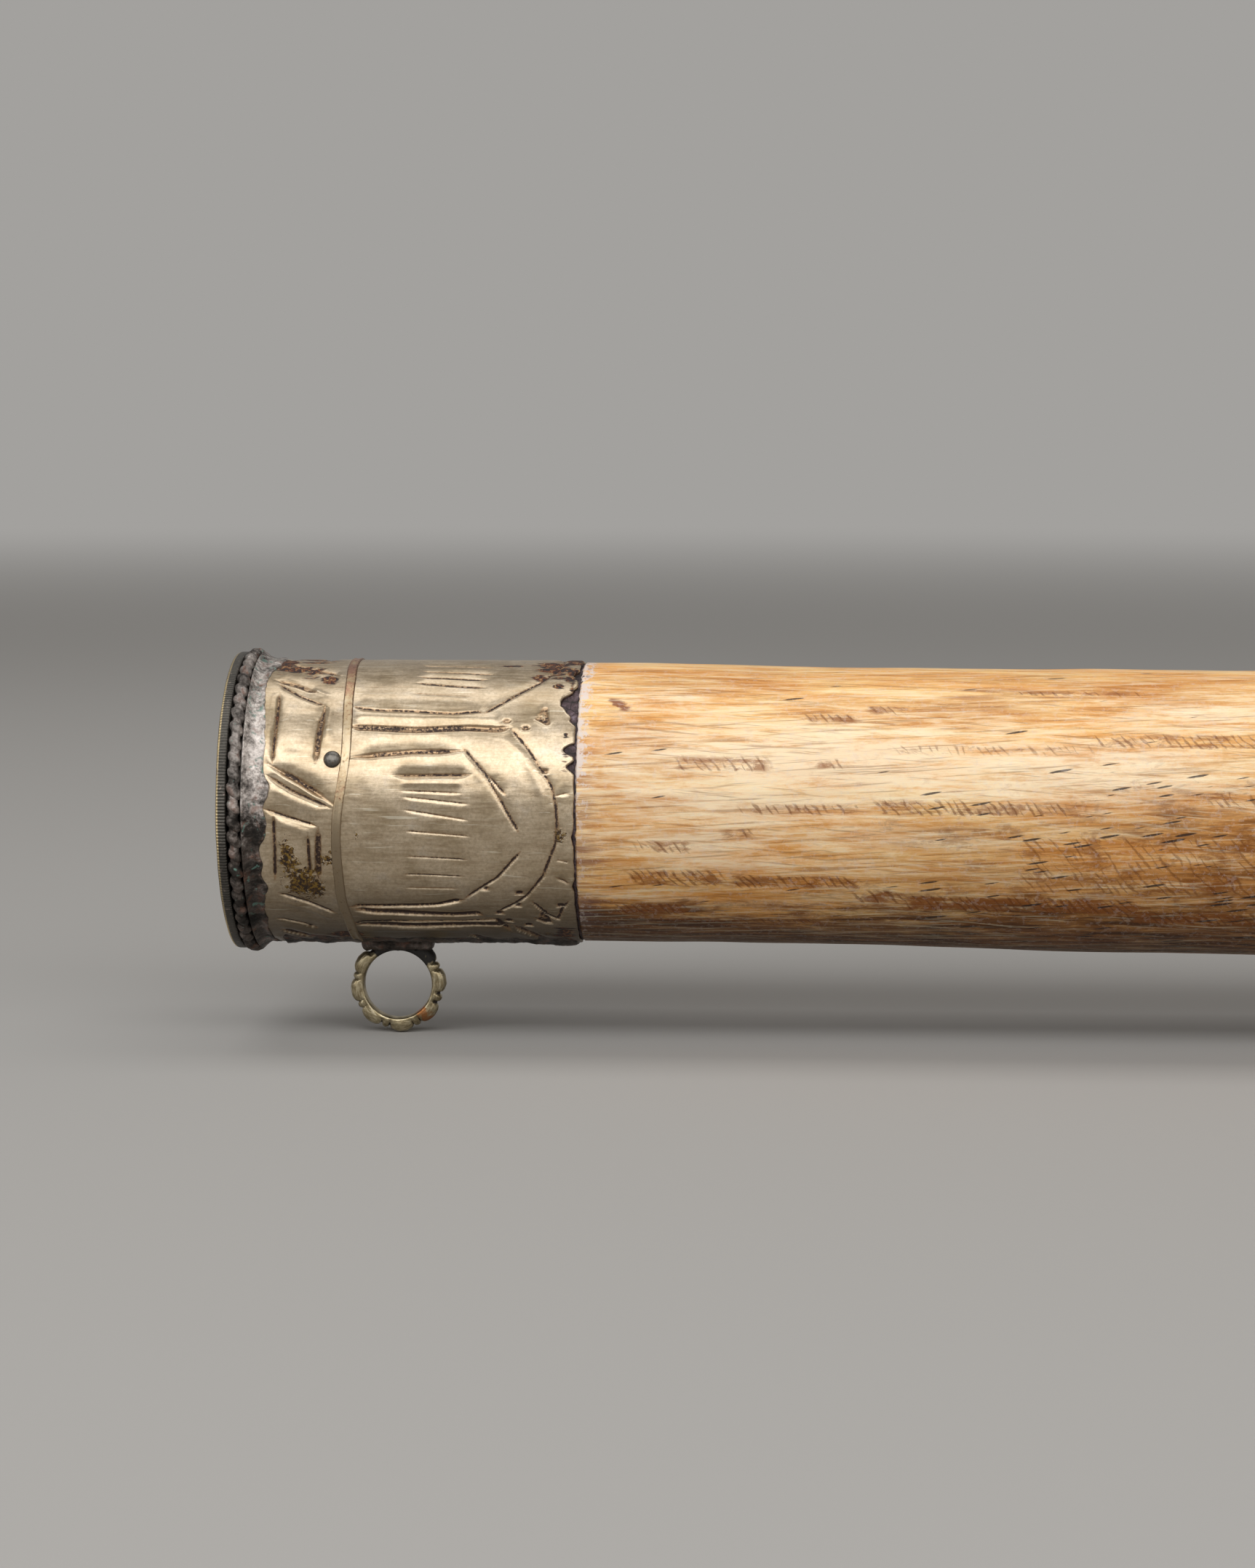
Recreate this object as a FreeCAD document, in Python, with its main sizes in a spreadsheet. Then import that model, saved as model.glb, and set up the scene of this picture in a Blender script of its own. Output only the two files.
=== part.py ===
import FreeCAD, Part
import math
import os
import Sketcher

# A trumpet made from a human thighbone, lying on its mouth ring and its knee end.
# +X runs along the bore from the mouth to the knee end, +Z is up, and -Y is the near side.
# The origin is the centre of the mouth hole, on the front face of the mouth plate.

os.makedirs("parts", exist_ok=True)
doc = FreeCAD.newDocument("thighbone_trumpet")
sheet = doc.addObject("Spreadsheet::Sheet", "sizes")

driving_sizes = {
    # mouth plate: a flat annular plate with a short lip turned into the marrow channel
    "mouth_radius": 6.5,
    "plate_radius": 15.1,
    "plate_thickness": 1.05,
    "lip_length": 3.0,
    "lip_clearance": 0.1,
    # rim: a beaded wire soldered between the plate and the flared collar
    "rim_radius": 15.56,
    "wire_diameter": 1.5,
    "wire_neck_diameter": 1.1,
    "bead_count": 58,
    "collar_length": 2.05,
    "collar_flare": 0.75,
    "collar_lip": 0.1,
    "collar_hollow_radius": 2.9,
    # chased sheet metal, in two lengths that meet under a narrow ridge
    "sheet_radius": 14.25,
    "sheet_thickness": 0.45,
    "band_length": 7.8,
    "petal_length": 22.6,
    "ridge_width": 0.85,
    "ridge_height": 0.2,
    # torn places in the free edge of the sleeve
    "upper_tear_radius": 2.3,
    "upper_tear_depth": 1.5,
    "upper_tear_angle": 52.0,
    "middle_tear_radius": 1.9,
    "middle_tear_depth": 1.1,
    "middle_tear_angle": 23.0,
    "far_tear_radius": 1.7,
    "far_tear_depth": 0.9,
    "far_tear_angle": 140.0,
    # pitch that beds the sheet on the turned seat of the bone
    "pitch_thickness": 0.35,
    "pitch_edge_width": 0.15,
    # iron pins through the mouth band
    "pin_head_diameter": 1.7,
    "pin_head_height": 0.6,
    "pin_shank_diameter": 0.8,
    "pin_depth": 2.0,
    "pin_setback": 1.3,
    "pin_angle": 22.8,
    # soldered lap along the underside of the sheet
    "seam_width": 7.0,
    "seam_height": 0.35,
    "seam_angle": -80.0,
    # hanging ring and the solder that holds it
    "ring_from_mouth": 16.1,
    "ring_hang": 4.53,
    "ring_hole_radius": 3.43,
    "ring_band": 0.9,
    "ring_thickness": 2.0,
    "lobe_radius": 1.15,
    "lobe_rise": 0.6,
    "lobe_count": 8,
    "small_bead_radius": 0.5,
    "small_bead_rise": 0.32,
    "saddle_length": 7.3,
    "saddle_width": 3.4,
    "saddle_height": 1.1,
    "saddle_flare": 0.35,
    # the bone
    "bone_length": 315.0,
    "bone_radius": 14.05,
    "condyle_half_width": 38.0,
    "condyle_rise": 36.0,
    "marrow_radius": 7.0,
    "chamber_setback": 59.0,
    "chamber_length": 40.0,
    "chamber_width": 44.0,
    "chamber_height": 20.0,
    "chamber_rise": 1.0,
    "nostril_radius": 6.5,
    "nostril_spread": 18.5,
    "nostril_rise": 4.0,
    # one overrun for every tool that has to pass a face
    "overrun": 5.0,
}

for row, (name, number) in enumerate(driving_sizes.items(), start=1):
    sheet.set("A" + str(row), name)
    sheet.set("B" + str(row), str(number))
    sheet.setAlias("B" + str(row), name)
doc.recompute()


class Size:
    """A length worked out from the sheet: its value and the same sum as an expression."""

    def __init__(self, value, text):
        self.value = value
        self.text = text

    def __add__(self, other):
        return Size(self.value + other.value, "(" + self.text + " + " + other.text + ")")

    def __sub__(self, other):
        return Size(self.value - other.value, "(" + self.text + " - " + other.text + ")")

    def __mul__(self, factor):
        return Size(self.value * factor, "(" + self.text + " * " + str(factor) + ")")

    def __truediv__(self, divisor):
        return Size(self.value / divisor, "(" + self.text + " / " + str(divisor) + ")")

    def __neg__(self):
        return Size(-self.value, "(0 - " + self.text + ")")


def size(name):
    return Size(float(sheet.get(name)), "sizes." + name)


def bind(thing, prop, amount):
    thing.setExpression(prop, amount.text)


nothing = Size(0.0, "0")

# places along the bore
plate_back = size("plate_thickness")
wire_back = plate_back + size("wire_diameter")
collar_back = wire_back + size("collar_length")
joint_place = collar_back + size("band_length")
sleeve_end = joint_place + size("petal_length")
shoulder = sleeve_end + size("pitch_edge_width")
bone_end = plate_back + size("bone_length")
marrow_end = bone_end - size("chamber_setback")
pin_place = joint_place - size("pin_setback")
ring_place = size("ring_from_mouth")

# radii about the bore
sheet_outer = size("sheet_radius")
sheet_inner = sheet_outer - size("sheet_thickness")
seat_radius = sheet_inner - size("pitch_thickness")
seam_outer = sheet_outer + size("seam_height")
wire_ring = size("rim_radius") - size("wire_diameter") / 2
wire_seat = wire_ring - size("wire_diameter") / 2
collar_wide = sheet_outer + size("collar_flare")
collar_thin = sheet_outer + size("collar_lip")
lip_outer = size("marrow_radius") - size("lip_clearance")

# the ring below the mount
ring_reach = size("ring_hole_radius") + size("ring_band")
lobe_centre = ring_reach + size("lobe_rise") - size("lobe_radius")
small_bead_centre = ring_reach + size("small_bead_rise") - size("small_bead_radius")
ring_drop = sheet_outer + size("ring_hang")
floor_drop = ring_drop + ring_reach + size("lobe_rise")
saddle_drop = sheet_outer + size("saddle_height")


def origin_plane(body, role):
    for feature in body.Origin.OriginFeatures:
        if feature.Role == role:
            return feature
    raise ValueError("no origin feature " + role)


def new_sketch(body, name, role):
    sketch = body.newObject("Sketcher::SketchObject", name)
    sketch.AttachmentSupport = [(origin_plane(body, role), "")]
    sketch.MapMode = "FlatFace"
    return sketch


def hollow_point(start, end, radius, side):
    """The middle of an arc of this radius between two corners, on one side of their chord."""
    middle = (start + end) * 0.5
    chord = end - start
    sagitta = radius - math.sqrt(radius * radius - chord.Length * chord.Length / 4)
    across = FreeCAD.Vector(-chord.y, chord.x, 0)
    across.normalize()
    return middle + across * (sagitta * side)


def draw_outline(sketch, corners, arcs=None):
    """A closed outline through corners, each a pair of sizes; arcs gives radius and side by edge."""
    arcs = arcs or {}
    points = [FreeCAD.Vector(across.value, along.value, 0) for across, along in corners]
    edges = []
    for index, start in enumerate(points):
        end = points[(index + 1) % len(points)]
        if index in arcs:
            radius, side = arcs[index]
            through = hollow_point(start, end, radius.value, side)
            arc = Part.Arc(start, through, end)
            edges.append(sketch.addGeometry(arc, False))
        else:
            edges.append(sketch.addGeometry(Part.LineSegment(start, end), False))
    starts = {}
    ends = {}
    for index, edge in enumerate(edges):
        start = points[index]
        first = sketch.getPoint(edge, 1)
        forward = first.distanceToPoint(start) < sketch.getPoint(edge, 2).distanceToPoint(start)
        starts[index] = 1 if forward else 2
        ends[index] = 2 if forward else 1
    for index, edge in enumerate(edges):
        following = (index + 1) % len(edges)
        joint = Sketcher.Constraint(
            "Coincident", edge, ends[index], edges[following], starts[following]
        )
        sketch.addConstraint(joint)
    for index, (across, along) in enumerate(corners):
        if index in arcs:
            before = index - 1
            hold_point(sketch, edges[before], ends[before % len(edges)], across, along)
        else:
            hold_point(sketch, edges[index], starts[index], across, along)
    for index, (radius, side) in arcs.items():
        place = sketch.addConstraint(Sketcher.Constraint("Radius", edges[index], radius.value))
        bind(sketch, "Constraints[" + str(place) + "]", radius)
    return edges


def hold_point(sketch, edge, end, across, along):
    """Holds one end of an edge at its place: across is the sketch's x, along its y."""
    if across.value == 0.0:
        sketch.addConstraint(Sketcher.Constraint("PointOnObject", edge, end, -2))
    else:
        fix = Sketcher.Constraint("DistanceX", -1, 1, edge, end, across.value)
        place = sketch.addConstraint(fix)
        bind(sketch, "Constraints[" + str(place) + "]", across)
    if along.value == 0.0:
        sketch.addConstraint(Sketcher.Constraint("PointOnObject", edge, end, -1))
    else:
        fix = Sketcher.Constraint("DistanceY", -1, 1, edge, end, along.value)
        place = sketch.addConstraint(fix)
        bind(sketch, "Constraints[" + str(place) + "]", along)


def draw_circle(sketch, across, along, radius):
    centre = FreeCAD.Vector(across.value, along.value, 0)
    circle = sketch.addGeometry(Part.Circle(centre, FreeCAD.Vector(0, 0, 1), radius.value), False)
    hold_point(sketch, circle, 3, across, along)
    place = sketch.addConstraint(Sketcher.Constraint("Radius", circle, radius.value))
    bind(sketch, "Constraints[" + str(place) + "]", radius)
    return circle


def turned_body(name, corners, arcs=None):
    """A body turned about the bore from an outline in x and radius."""
    body = doc.addObject("PartDesign::Body", name)
    body.Label = name
    sketch = new_sketch(body, name + "_outline", "XY_Plane")
    draw_outline(sketch, corners, arcs)
    turn = body.newObject("PartDesign::Revolution", name + "_turn")
    turn.Profile = sketch
    turn.ReferenceAxis = (sketch, ["H_Axis"])
    turn.Angle = 360.0
    return body


# mouth plate
# the lip stands inside the marrow channel, and its hole is the mouth
lip_back = plate_back + size("lip_length")
mouth_plate = turned_body(
    "mouth_plate",
    [
        (nothing, size("mouth_radius")),
        (lip_back, size("mouth_radius")),
        (lip_back, lip_outer),
        (plate_back, lip_outer),
        (plate_back, size("plate_radius")),
        (nothing, size("plate_radius")),
    ],
)

# flared collar
# a sleeve under the rim wire that opens into a hollow flare against the band
flared_collar = turned_body(
    "flared_collar",
    [
        (plate_back, sheet_inner),
        (collar_back, sheet_inner),
        (collar_back, collar_thin),
        (wire_back, collar_wide),
        (wire_back, wire_seat),
        (plate_back, wire_seat),
    ],
    {2: (size("collar_hollow_radius"), -1)},
)

# rim wire
# a round neck with a ball at each bead, bedded between the plate and the collar
wire_middle = plate_back + size("wire_diameter") / 2
rim_wire = doc.addObject("PartDesign::Body", "rim_wire")
rim_wire.Label = "rim_wire"
neck_sketch = new_sketch(rim_wire, "rim_wire_neck_outline", "XY_Plane")
draw_circle(neck_sketch, wire_middle, wire_ring, size("wire_neck_diameter") / 2)
neck_turn = rim_wire.newObject("PartDesign::Revolution", "rim_wire_neck")
neck_turn.Profile = neck_sketch
neck_turn.ReferenceAxis = (neck_sketch, ["H_Axis"])
neck_turn.Angle = 360.0
bead = rim_wire.newObject("PartDesign::AdditiveSphere", "rim_wire_bead")
bind(bead, "Radius", size("wire_diameter") / 2)
bead.AttachmentSupport = [(origin_plane(rim_wire, "XY_Plane"), "")]
bead.MapMode = "FlatFace"
bind(bead, "AttachmentOffset.Base.x", wire_middle)
bind(bead, "AttachmentOffset.Base.y", wire_ring)
doc.recompute()
bead_pattern = rim_wire.newObject("PartDesign::PolarPattern", "rim_wire_beads")
bead_pattern.Originals = [bead]
bead_pattern.Axis = (origin_plane(rim_wire, "X_Axis"), [""])
bead_pattern.Angle = 360.0
bead_pattern.setExpression("Occurrences", "sizes.bead_count")
rim_wire.Tip = bead_pattern

# chased bands and ridge
band_tube = turned_body(
    "mouth_band_tube",
    [
        (collar_back, sheet_inner),
        (joint_place, sheet_inner),
        (joint_place, sheet_outer),
        (collar_back, sheet_outer),
    ],
)

ridge_half = size("ridge_width") / 2
ridge_outer = sheet_outer + size("ridge_height")
ridge_band = turned_body(
    "ridge_band",
    [
        (joint_place - ridge_half, sheet_outer),
        (joint_place + ridge_half, sheet_outer),
        (joint_place + ridge_half, ridge_outer),
        (joint_place - ridge_half, ridge_outer),
    ],
)

sleeve_tube = turned_body(
    "petal_sleeve_tube",
    [
        (joint_place, sheet_inner),
        (sleeve_end, sheet_inner),
        (sleeve_end, sheet_outer),
        (joint_place, sheet_outer),
    ],
)


def radial_turn(angle):
    """The turn about the bore that takes straight up to an angle above the near side."""
    return FreeCAD.Rotation(FreeCAD.Vector(1, 0, 0), 90 - angle)


def tear(name):
    """A radial drill that bites into the free edge of the sleeve."""
    drill = doc.addObject("Part::Cylinder", name + "_tear")
    bind(drill, "Radius", size(name + "_tear_radius"))
    bind(drill, "Height", sheet_outer + size("overrun"))
    centre = sleeve_end + size(name + "_tear_radius") - size(name + "_tear_depth")
    turn = radial_turn(size(name + "_tear_angle").value)
    drill.Placement = FreeCAD.Placement(FreeCAD.Vector(centre.value, 0, 0), turn)
    bind(drill, "Placement.Base.x", centre)
    return drill


tears = doc.addObject("Part::MultiFuse", "sleeve_tears")
tears.Shapes = [tear("upper"), tear("middle"), tear("far")]
petal_sleeve = doc.addObject("Part::Cut", "petal_sleeve")
petal_sleeve.Base = sleeve_tube
petal_sleeve.Tool = tears
petal_sleeve.Label = "petal_sleeve"

# pitch lining
# it fills the room between seat and sheet, and shows as a line at the free edge
pitch_tube = turned_body(
    "pitch_tube",
    [
        (plate_back, seat_radius),
        (shoulder, seat_radius),
        (shoulder, sheet_inner),
        (plate_back, sheet_inner),
    ],
)

# iron pins
# a shank through sheet and pitch into the bone, under a domed head
head_half = size("pin_head_diameter") / 2
head_height = size("pin_head_height")
dome_value = (head_half.value ** 2 + head_height.value ** 2) / (2 * head_height.value)
dome_text = "((sizes.pin_head_diameter / 2) ^ 2 + sizes.pin_head_height ^ 2)"
dome_radius = Size(dome_value, "(" + dome_text + " / (2 * sizes.pin_head_height))")
shank_half = size("pin_shank_diameter") / 2
shank_foot = seat_radius - size("pin_depth")


def iron_pin(name, half_turns):
    body = doc.addObject("PartDesign::Body", name)
    body.Label = name
    sketch = new_sketch(body, name + "_outline", "XZ_Plane")
    corners = [
        (nothing, shank_foot),
        (shank_half, shank_foot),
        (shank_half, sheet_outer),
        (head_half, sheet_outer),
        (nothing, sheet_outer + head_height),
    ]
    draw_outline(sketch, corners, {3: (dome_radius, -1)})
    turn = body.newObject("PartDesign::Revolution", name + "_turn")
    turn.Profile = sketch
    turn.ReferenceAxis = (sketch, ["V_Axis"])
    turn.Angle = 360.0
    lean = radial_turn(size("pin_angle").value + 180 * half_turns)
    body.Placement = FreeCAD.Placement(FreeCAD.Vector(pin_place.value, 0, 0), lean)
    bind(body, "Placement.Base.x", pin_place)
    return body


pin_near = iron_pin("pin_near", 0)
pin_far = iron_pin("pin_far", 1)

# soldered seam
# a lap of sheet run full of solder, lying along the underside of both bands
seam_body = turned_body(
    "seam_lap",
    [
        (collar_back, sheet_outer),
        (sleeve_end, sheet_outer),
        (sleeve_end, seam_outer),
        (collar_back, seam_outer),
    ],
)
seam_turn = doc.getObject("seam_lap_turn")
seam_turn.Midplane = True
seam_turn.setExpression("Angle", "sizes.seam_width / sizes.sheet_radius * 180 / pi")
seam_lean = FreeCAD.Rotation(FreeCAD.Vector(1, 0, 0), 180 - size("seam_angle").value)
seam_body.Placement = FreeCAD.Placement(FreeCAD.Vector(0, 0, 0), seam_lean)
seam_solder = doc.addObject("Part::Cut", "seam_solder")
seam_solder.Base = seam_body
seam_solder.Tool = ridge_band
seam_solder.Label = "seam_solder"

# hanging ring
# a flat disc with rounded lobes and a small bead between each pair, drilled for its eye
ring_body = doc.addObject("PartDesign::Body", "ring_casting")
ring_sketch = new_sketch(ring_body, "ring_outline", "XZ_Plane")
draw_circle(ring_sketch, nothing, nothing, ring_reach)
ring_pad = ring_body.newObject("PartDesign::Pad", "ring_pad")
ring_pad.Profile = ring_sketch
ring_pad.Midplane = True
bind(ring_pad, "Length", size("ring_thickness"))
doc.recompute()


def ring_lobes(name, centre, radius, first_angle):
    """Round lobes on the ring's edge, repeated about its axis."""
    sketch = new_sketch(ring_body, name + "_outline", "XZ_Plane")
    circle = draw_circle(sketch, centre, nothing, radius)
    pad = ring_body.newObject("PartDesign::Pad", name + "_pad")
    pad.Profile = sketch
    pad.Midplane = True
    bind(pad, "Length", size("ring_thickness"))
    sketch.AttachmentOffset = FreeCAD.Placement(
        FreeCAD.Vector(0, 0, 0), FreeCAD.Rotation(FreeCAD.Vector(0, 0, 1), first_angle)
    )
    doc.recompute()
    pattern = ring_body.newObject("PartDesign::PolarPattern", name + "_pattern")
    pattern.Originals = [pad]
    pattern.Axis = (origin_plane(ring_body, "Y_Axis"), [""])
    pattern.Angle = 360.0
    pattern.setExpression("Occurrences", "sizes.lobe_count")
    ring_body.Tip = pattern
    doc.recompute()
    return circle


lobe_step = 360 / size("lobe_count").value
ring_lobes("lobe", lobe_centre, size("lobe_radius"), -90)
ring_lobes("small_bead", small_bead_centre, size("small_bead_radius"), -90 + lobe_step / 2)
ring_body.Placement = FreeCAD.Placement(
    FreeCAD.Vector(ring_place.value, 0, -ring_drop.value), FreeCAD.Rotation()
)
bind(ring_body, "Placement.Base.x", ring_place)
bind(ring_body, "Placement.Base.z", -ring_drop)

# the top of the ring is filed to the curve of the seam, and so is the solder round it
seat_tool = doc.addObject("Part::Cylinder", "ring_seat_tool")
seat_length = size("saddle_length") * 2
bind(seat_tool, "Radius", seam_outer)
bind(seat_tool, "Height", seat_length)
seat_tool.Placement = FreeCAD.Placement(
    FreeCAD.Vector(0, 0, 0), FreeCAD.Rotation(FreeCAD.Vector(0, 1, 0), 90)
)
bind(seat_tool, "Placement.Base.x", ring_place - seat_length / 2)
eye_tool = doc.addObject("Part::Cylinder", "ring_eye_tool")
bind(eye_tool, "Radius", size("ring_hole_radius"))
bind(eye_tool, "Height", size("saddle_width") * 2)
eye_tool.Placement = FreeCAD.Placement(
    FreeCAD.Vector(0, 0, 0), FreeCAD.Rotation(FreeCAD.Vector(1, 0, 0), 90)
)
bind(eye_tool, "Placement.Base.x", ring_place)
bind(eye_tool, "Placement.Base.y", size("saddle_width"))
bind(eye_tool, "Placement.Base.z", -ring_drop)
ring_tools = doc.addObject("Part::MultiFuse", "ring_tools")
ring_tools.Shapes = [seat_tool, eye_tool]
hanging_ring = doc.addObject("Part::Cut", "hanging_ring")
hanging_ring.Base = ring_body
hanging_ring.Tool = ring_tools
hanging_ring.Label = "hanging_ring"

saddle_body = doc.addObject("PartDesign::Body", "saddle_lump")
saddle_sketch = new_sketch(saddle_body, "saddle_outline", "XZ_Plane")
saddle_half = size("saddle_length") / 2
saddle_foot = saddle_half - size("saddle_flare")
draw_outline(
    saddle_sketch,
    [
        (ring_place - saddle_half, -sheet_inner),
        (ring_place - saddle_half, -seam_outer),
        (ring_place - saddle_foot, -saddle_drop),
        (ring_place + saddle_foot, -saddle_drop),
        (ring_place + saddle_half, -seam_outer),
        (ring_place + saddle_half, -sheet_inner),
    ],
)
saddle_pad = saddle_body.newObject("PartDesign::Pad", "saddle_pad")
saddle_pad.Profile = saddle_sketch
saddle_pad.Midplane = True
bind(saddle_pad, "Length", size("saddle_width"))

saddle_tools = doc.addObject("Part::MultiFuse", "saddle_tools")
saddle_tools.Shapes = [seat_tool, eye_tool, ring_body]
ring_saddle = doc.addObject("Part::Cut", "ring_saddle")
ring_saddle.Base = saddle_body
ring_saddle.Tool = saddle_tools
ring_saddle.Label = "ring_saddle"

# the bone
# Stations along the shaft, as shares of the length between shoulder and knee end.
station_shares = [0.0, 0.078, 0.16, 0.242, 0.41, 0.588, 0.712, 0.794, 0.844, 0.883, 0.922,
                  0.952, 0.974, 0.99, 1.0]
# The shaft's own swelling there, as shares of the bone radius, across, above and below.
shaft_across_shares = [0.995, 0.985, 1.0, 1.015, 1.05, 1.1, 1.2, 1.3, 1.4, 1.4, 1.4, 1.4, 1.4, 1.4,
                       1.4]
shaft_above_shares = [1.0, 0.975, 0.972, 0.965, 0.97, 1.0, 1.04, 1.1, 1.15, 1.2, 1.2, 1.2, 1.2, 1.2,
                      1.2]
shaft_below_shares = [1.0, 1.005, 1.04, 1.055, 1.09, 1.12, 1.14, 1.2, 1.25, 1.3, 1.3, 1.3, 1.3, 1.3,
                      1.3]
# How far each station has opened into the knee end, across, above and below.
flare_across_shares = [0, 0, 0, 0, 0, 0.06, 0.25, 0.52, 0.78, 0.94, 1.0, 0.99, 0.93, 0.82, 0.66]
flare_above_shares = [0, 0, 0, 0, 0, 0.0, 0.02, 0.09, 0.34, 0.72, 1.0, 0.99, 0.86, 0.66, 0.42]
flare_below_shares = [0, 0, 0, 0, 0, 0.02, 0.05, 0.2, 0.6, 0.93, 1.0, 0.97, 0.84, 0.62, 0.36]
# How much of the two-lobed outline each station has taken on.
lobe_shares = [0, 0, 0, 0, 0, 0, 0, 0.08, 0.42, 0.8, 1.0, 1.0, 1.0, 1.0, 1.0]
# The two-lobed outline from the groove below to the notch above, as shares of half width,
# of the depth below the bore (negative) and of the rise above it (positive).
knee_outline_shares = [
    (0.0, -0.8), (0.2, -0.88), (0.4, -0.99), (0.6, -0.95), (0.8, -0.76), (0.95, -0.38),
    (1.0, 0.04), (0.97, 0.38), (0.88, 0.72), (0.71, 0.94), (0.5, 0.98), (0.34, 0.76),
    (0.27, 0.38), (0.2, 0.04), (0.0, -0.08),
]


def station_outline(place, across, above, below, lobe_share):
    """A closed curve across the bone, between an oval and the two-lobed knee outline."""
    half = []
    steps = len(knee_outline_shares) - 1
    for index, (knee_across, knee_up) in enumerate(knee_outline_shares):
        angle = math.pi * (index / steps - 0.5)
        share_across = (1 - lobe_share) * math.cos(angle) + lobe_share * knee_across
        share_up = (1 - lobe_share) * math.sin(angle) + lobe_share * knee_up
        height = share_up * (above if share_up > 0 else below)
        half.append((share_across * across, height))
    ring = half + [(-y, z) for y, z in reversed(half[1:-1])]
    points = [FreeCAD.Vector(place, y, z) for y, z in ring]
    curve = Part.BSplineCurve()
    curve.interpolate(Points=points, PeriodicFlag=True)
    return Part.Wire([curve.toShape()])


bone_radius = size("bone_radius").value
span = bone_end.value - shoulder.value
flare_across = size("condyle_half_width").value - bone_radius
flare_above = size("condyle_rise").value - bone_radius
flare_below = floor_drop.value - bone_radius
outlines = []
for index, share in enumerate(station_shares):
    stay = 1 - flare_across_shares[index]
    across = bone_radius * (1 + (shaft_across_shares[index] - 1) * stay)
    across += flare_across * flare_across_shares[index]
    stay = 1 - flare_above_shares[index]
    above = bone_radius * (1 + (shaft_above_shares[index] - 1) * stay)
    above += flare_above * flare_above_shares[index]
    stay = 1 - flare_below_shares[index]
    below = bone_radius * (1 + (shaft_below_shares[index] - 1) * stay)
    below += flare_below * flare_below_shares[index]
    place = shoulder.value + span * share
    outlines.append(station_outline(place, across, above, below, lobe_shares[index]))
bone_form = doc.addObject("Part::Feature", "bone_form")
bone_form.Shape = Part.makeLoft(outlines, True, False)
bone_form.Placement = FreeCAD.Placement(FreeCAD.Vector(0, 0, 0), FreeCAD.Rotation())


def along_bore(name, radius, start, length):
    """A cylinder about the bore."""
    tool = doc.addObject("Part::Cylinder", name)
    bind(tool, "Radius", radius)
    bind(tool, "Height", length)
    tool.Placement = FreeCAD.Placement(
        FreeCAD.Vector(0, 0, 0), FreeCAD.Rotation(FreeCAD.Vector(0, 1, 0), 90)
    )
    bind(tool, "Placement.Base.x", start)
    return tool


# the seat is turned down to take pitch and sheet, and runs on into the shaft
seat_span = shoulder - plate_back + size("overrun")
bone_seat = along_bore("bone_seat", seat_radius, plate_back, seat_span)
bone_solid = doc.addObject("Part::MultiFuse", "bone_solid")
bone_solid.Shapes = [bone_form, bone_seat]

channel_start = plate_back - size("overrun")
channel_length = marrow_end - channel_start
marrow_channel = along_bore("marrow_channel", size("marrow_radius"), channel_start, channel_length)
chamber = doc.addObject("Part::Ellipsoid", "knee_chamber")
bind(chamber, "Radius1", size("chamber_height") / 2)
bind(chamber, "Radius2", size("chamber_length") / 2)
bind(chamber, "Radius3", size("chamber_width") / 2)
bind(chamber, "Placement.Base.x", marrow_end)
bind(chamber, "Placement.Base.z", size("chamber_rise"))


def nostril(name, side):
    """A hole bored from the knee end into the chamber."""
    start = marrow_end + size("chamber_length") / 4
    hole = along_bore(name, size("nostril_radius"), start, bone_end - start + size("overrun"))
    bind(hole, "Placement.Base.y", size("nostril_spread") * side)
    bind(hole, "Placement.Base.z", size("nostril_rise"))
    return hole


bone_tools = doc.addObject("Part::MultiFuse", "bone_hollows")
bone_tools.Shapes = [marrow_channel, chamber, nostril("nostril_near", -1), nostril("nostril_far", 1)]
bone_hollowed = doc.addObject("Part::Cut", "bone_hollowed")
bone_hollowed.Base = bone_solid
bone_hollowed.Tool = bone_tools
pin_holes = doc.addObject("Part::MultiFuse", "pin_holes")
pin_holes.Shapes = [pin_near, pin_far]


def pinned(name, base):
    """A piece with the pin holes taken out of it."""
    cut = doc.addObject("Part::Cut", name)
    cut.Base = base
    cut.Tool = pin_holes
    cut.Label = name
    return cut


thighbone = pinned("thighbone", bone_hollowed)
pitch_lining = pinned("pitch_lining", pitch_tube)
mouth_band = pinned("mouth_band", band_tube)

doc.recompute()

pieces = [
    thighbone,
    pitch_lining,
    mouth_plate,
    rim_wire,
    flared_collar,
    mouth_band,
    ridge_band,
    petal_sleeve,
    seam_solder,
    hanging_ring,
    ring_saddle,
    pin_near,
    pin_far,
]

for thing in doc.Objects:
    for word in ("Invalid", "Error"):
        if word in thing.State:
            raise RuntimeError(thing.Name + " is " + word)
for piece in pieces:
    shape = piece.Shape
    if shape.isNull() or not shape.isValid():
        raise RuntimeError(piece.Label + " has no valid shape")
    print(piece.Label, len(shape.Solids), round(shape.Volume, 2), shape.BoundBox)
for piece in pieces:
    piece.Shape.exportStep("parts/" + piece.Label + ".step")
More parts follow.
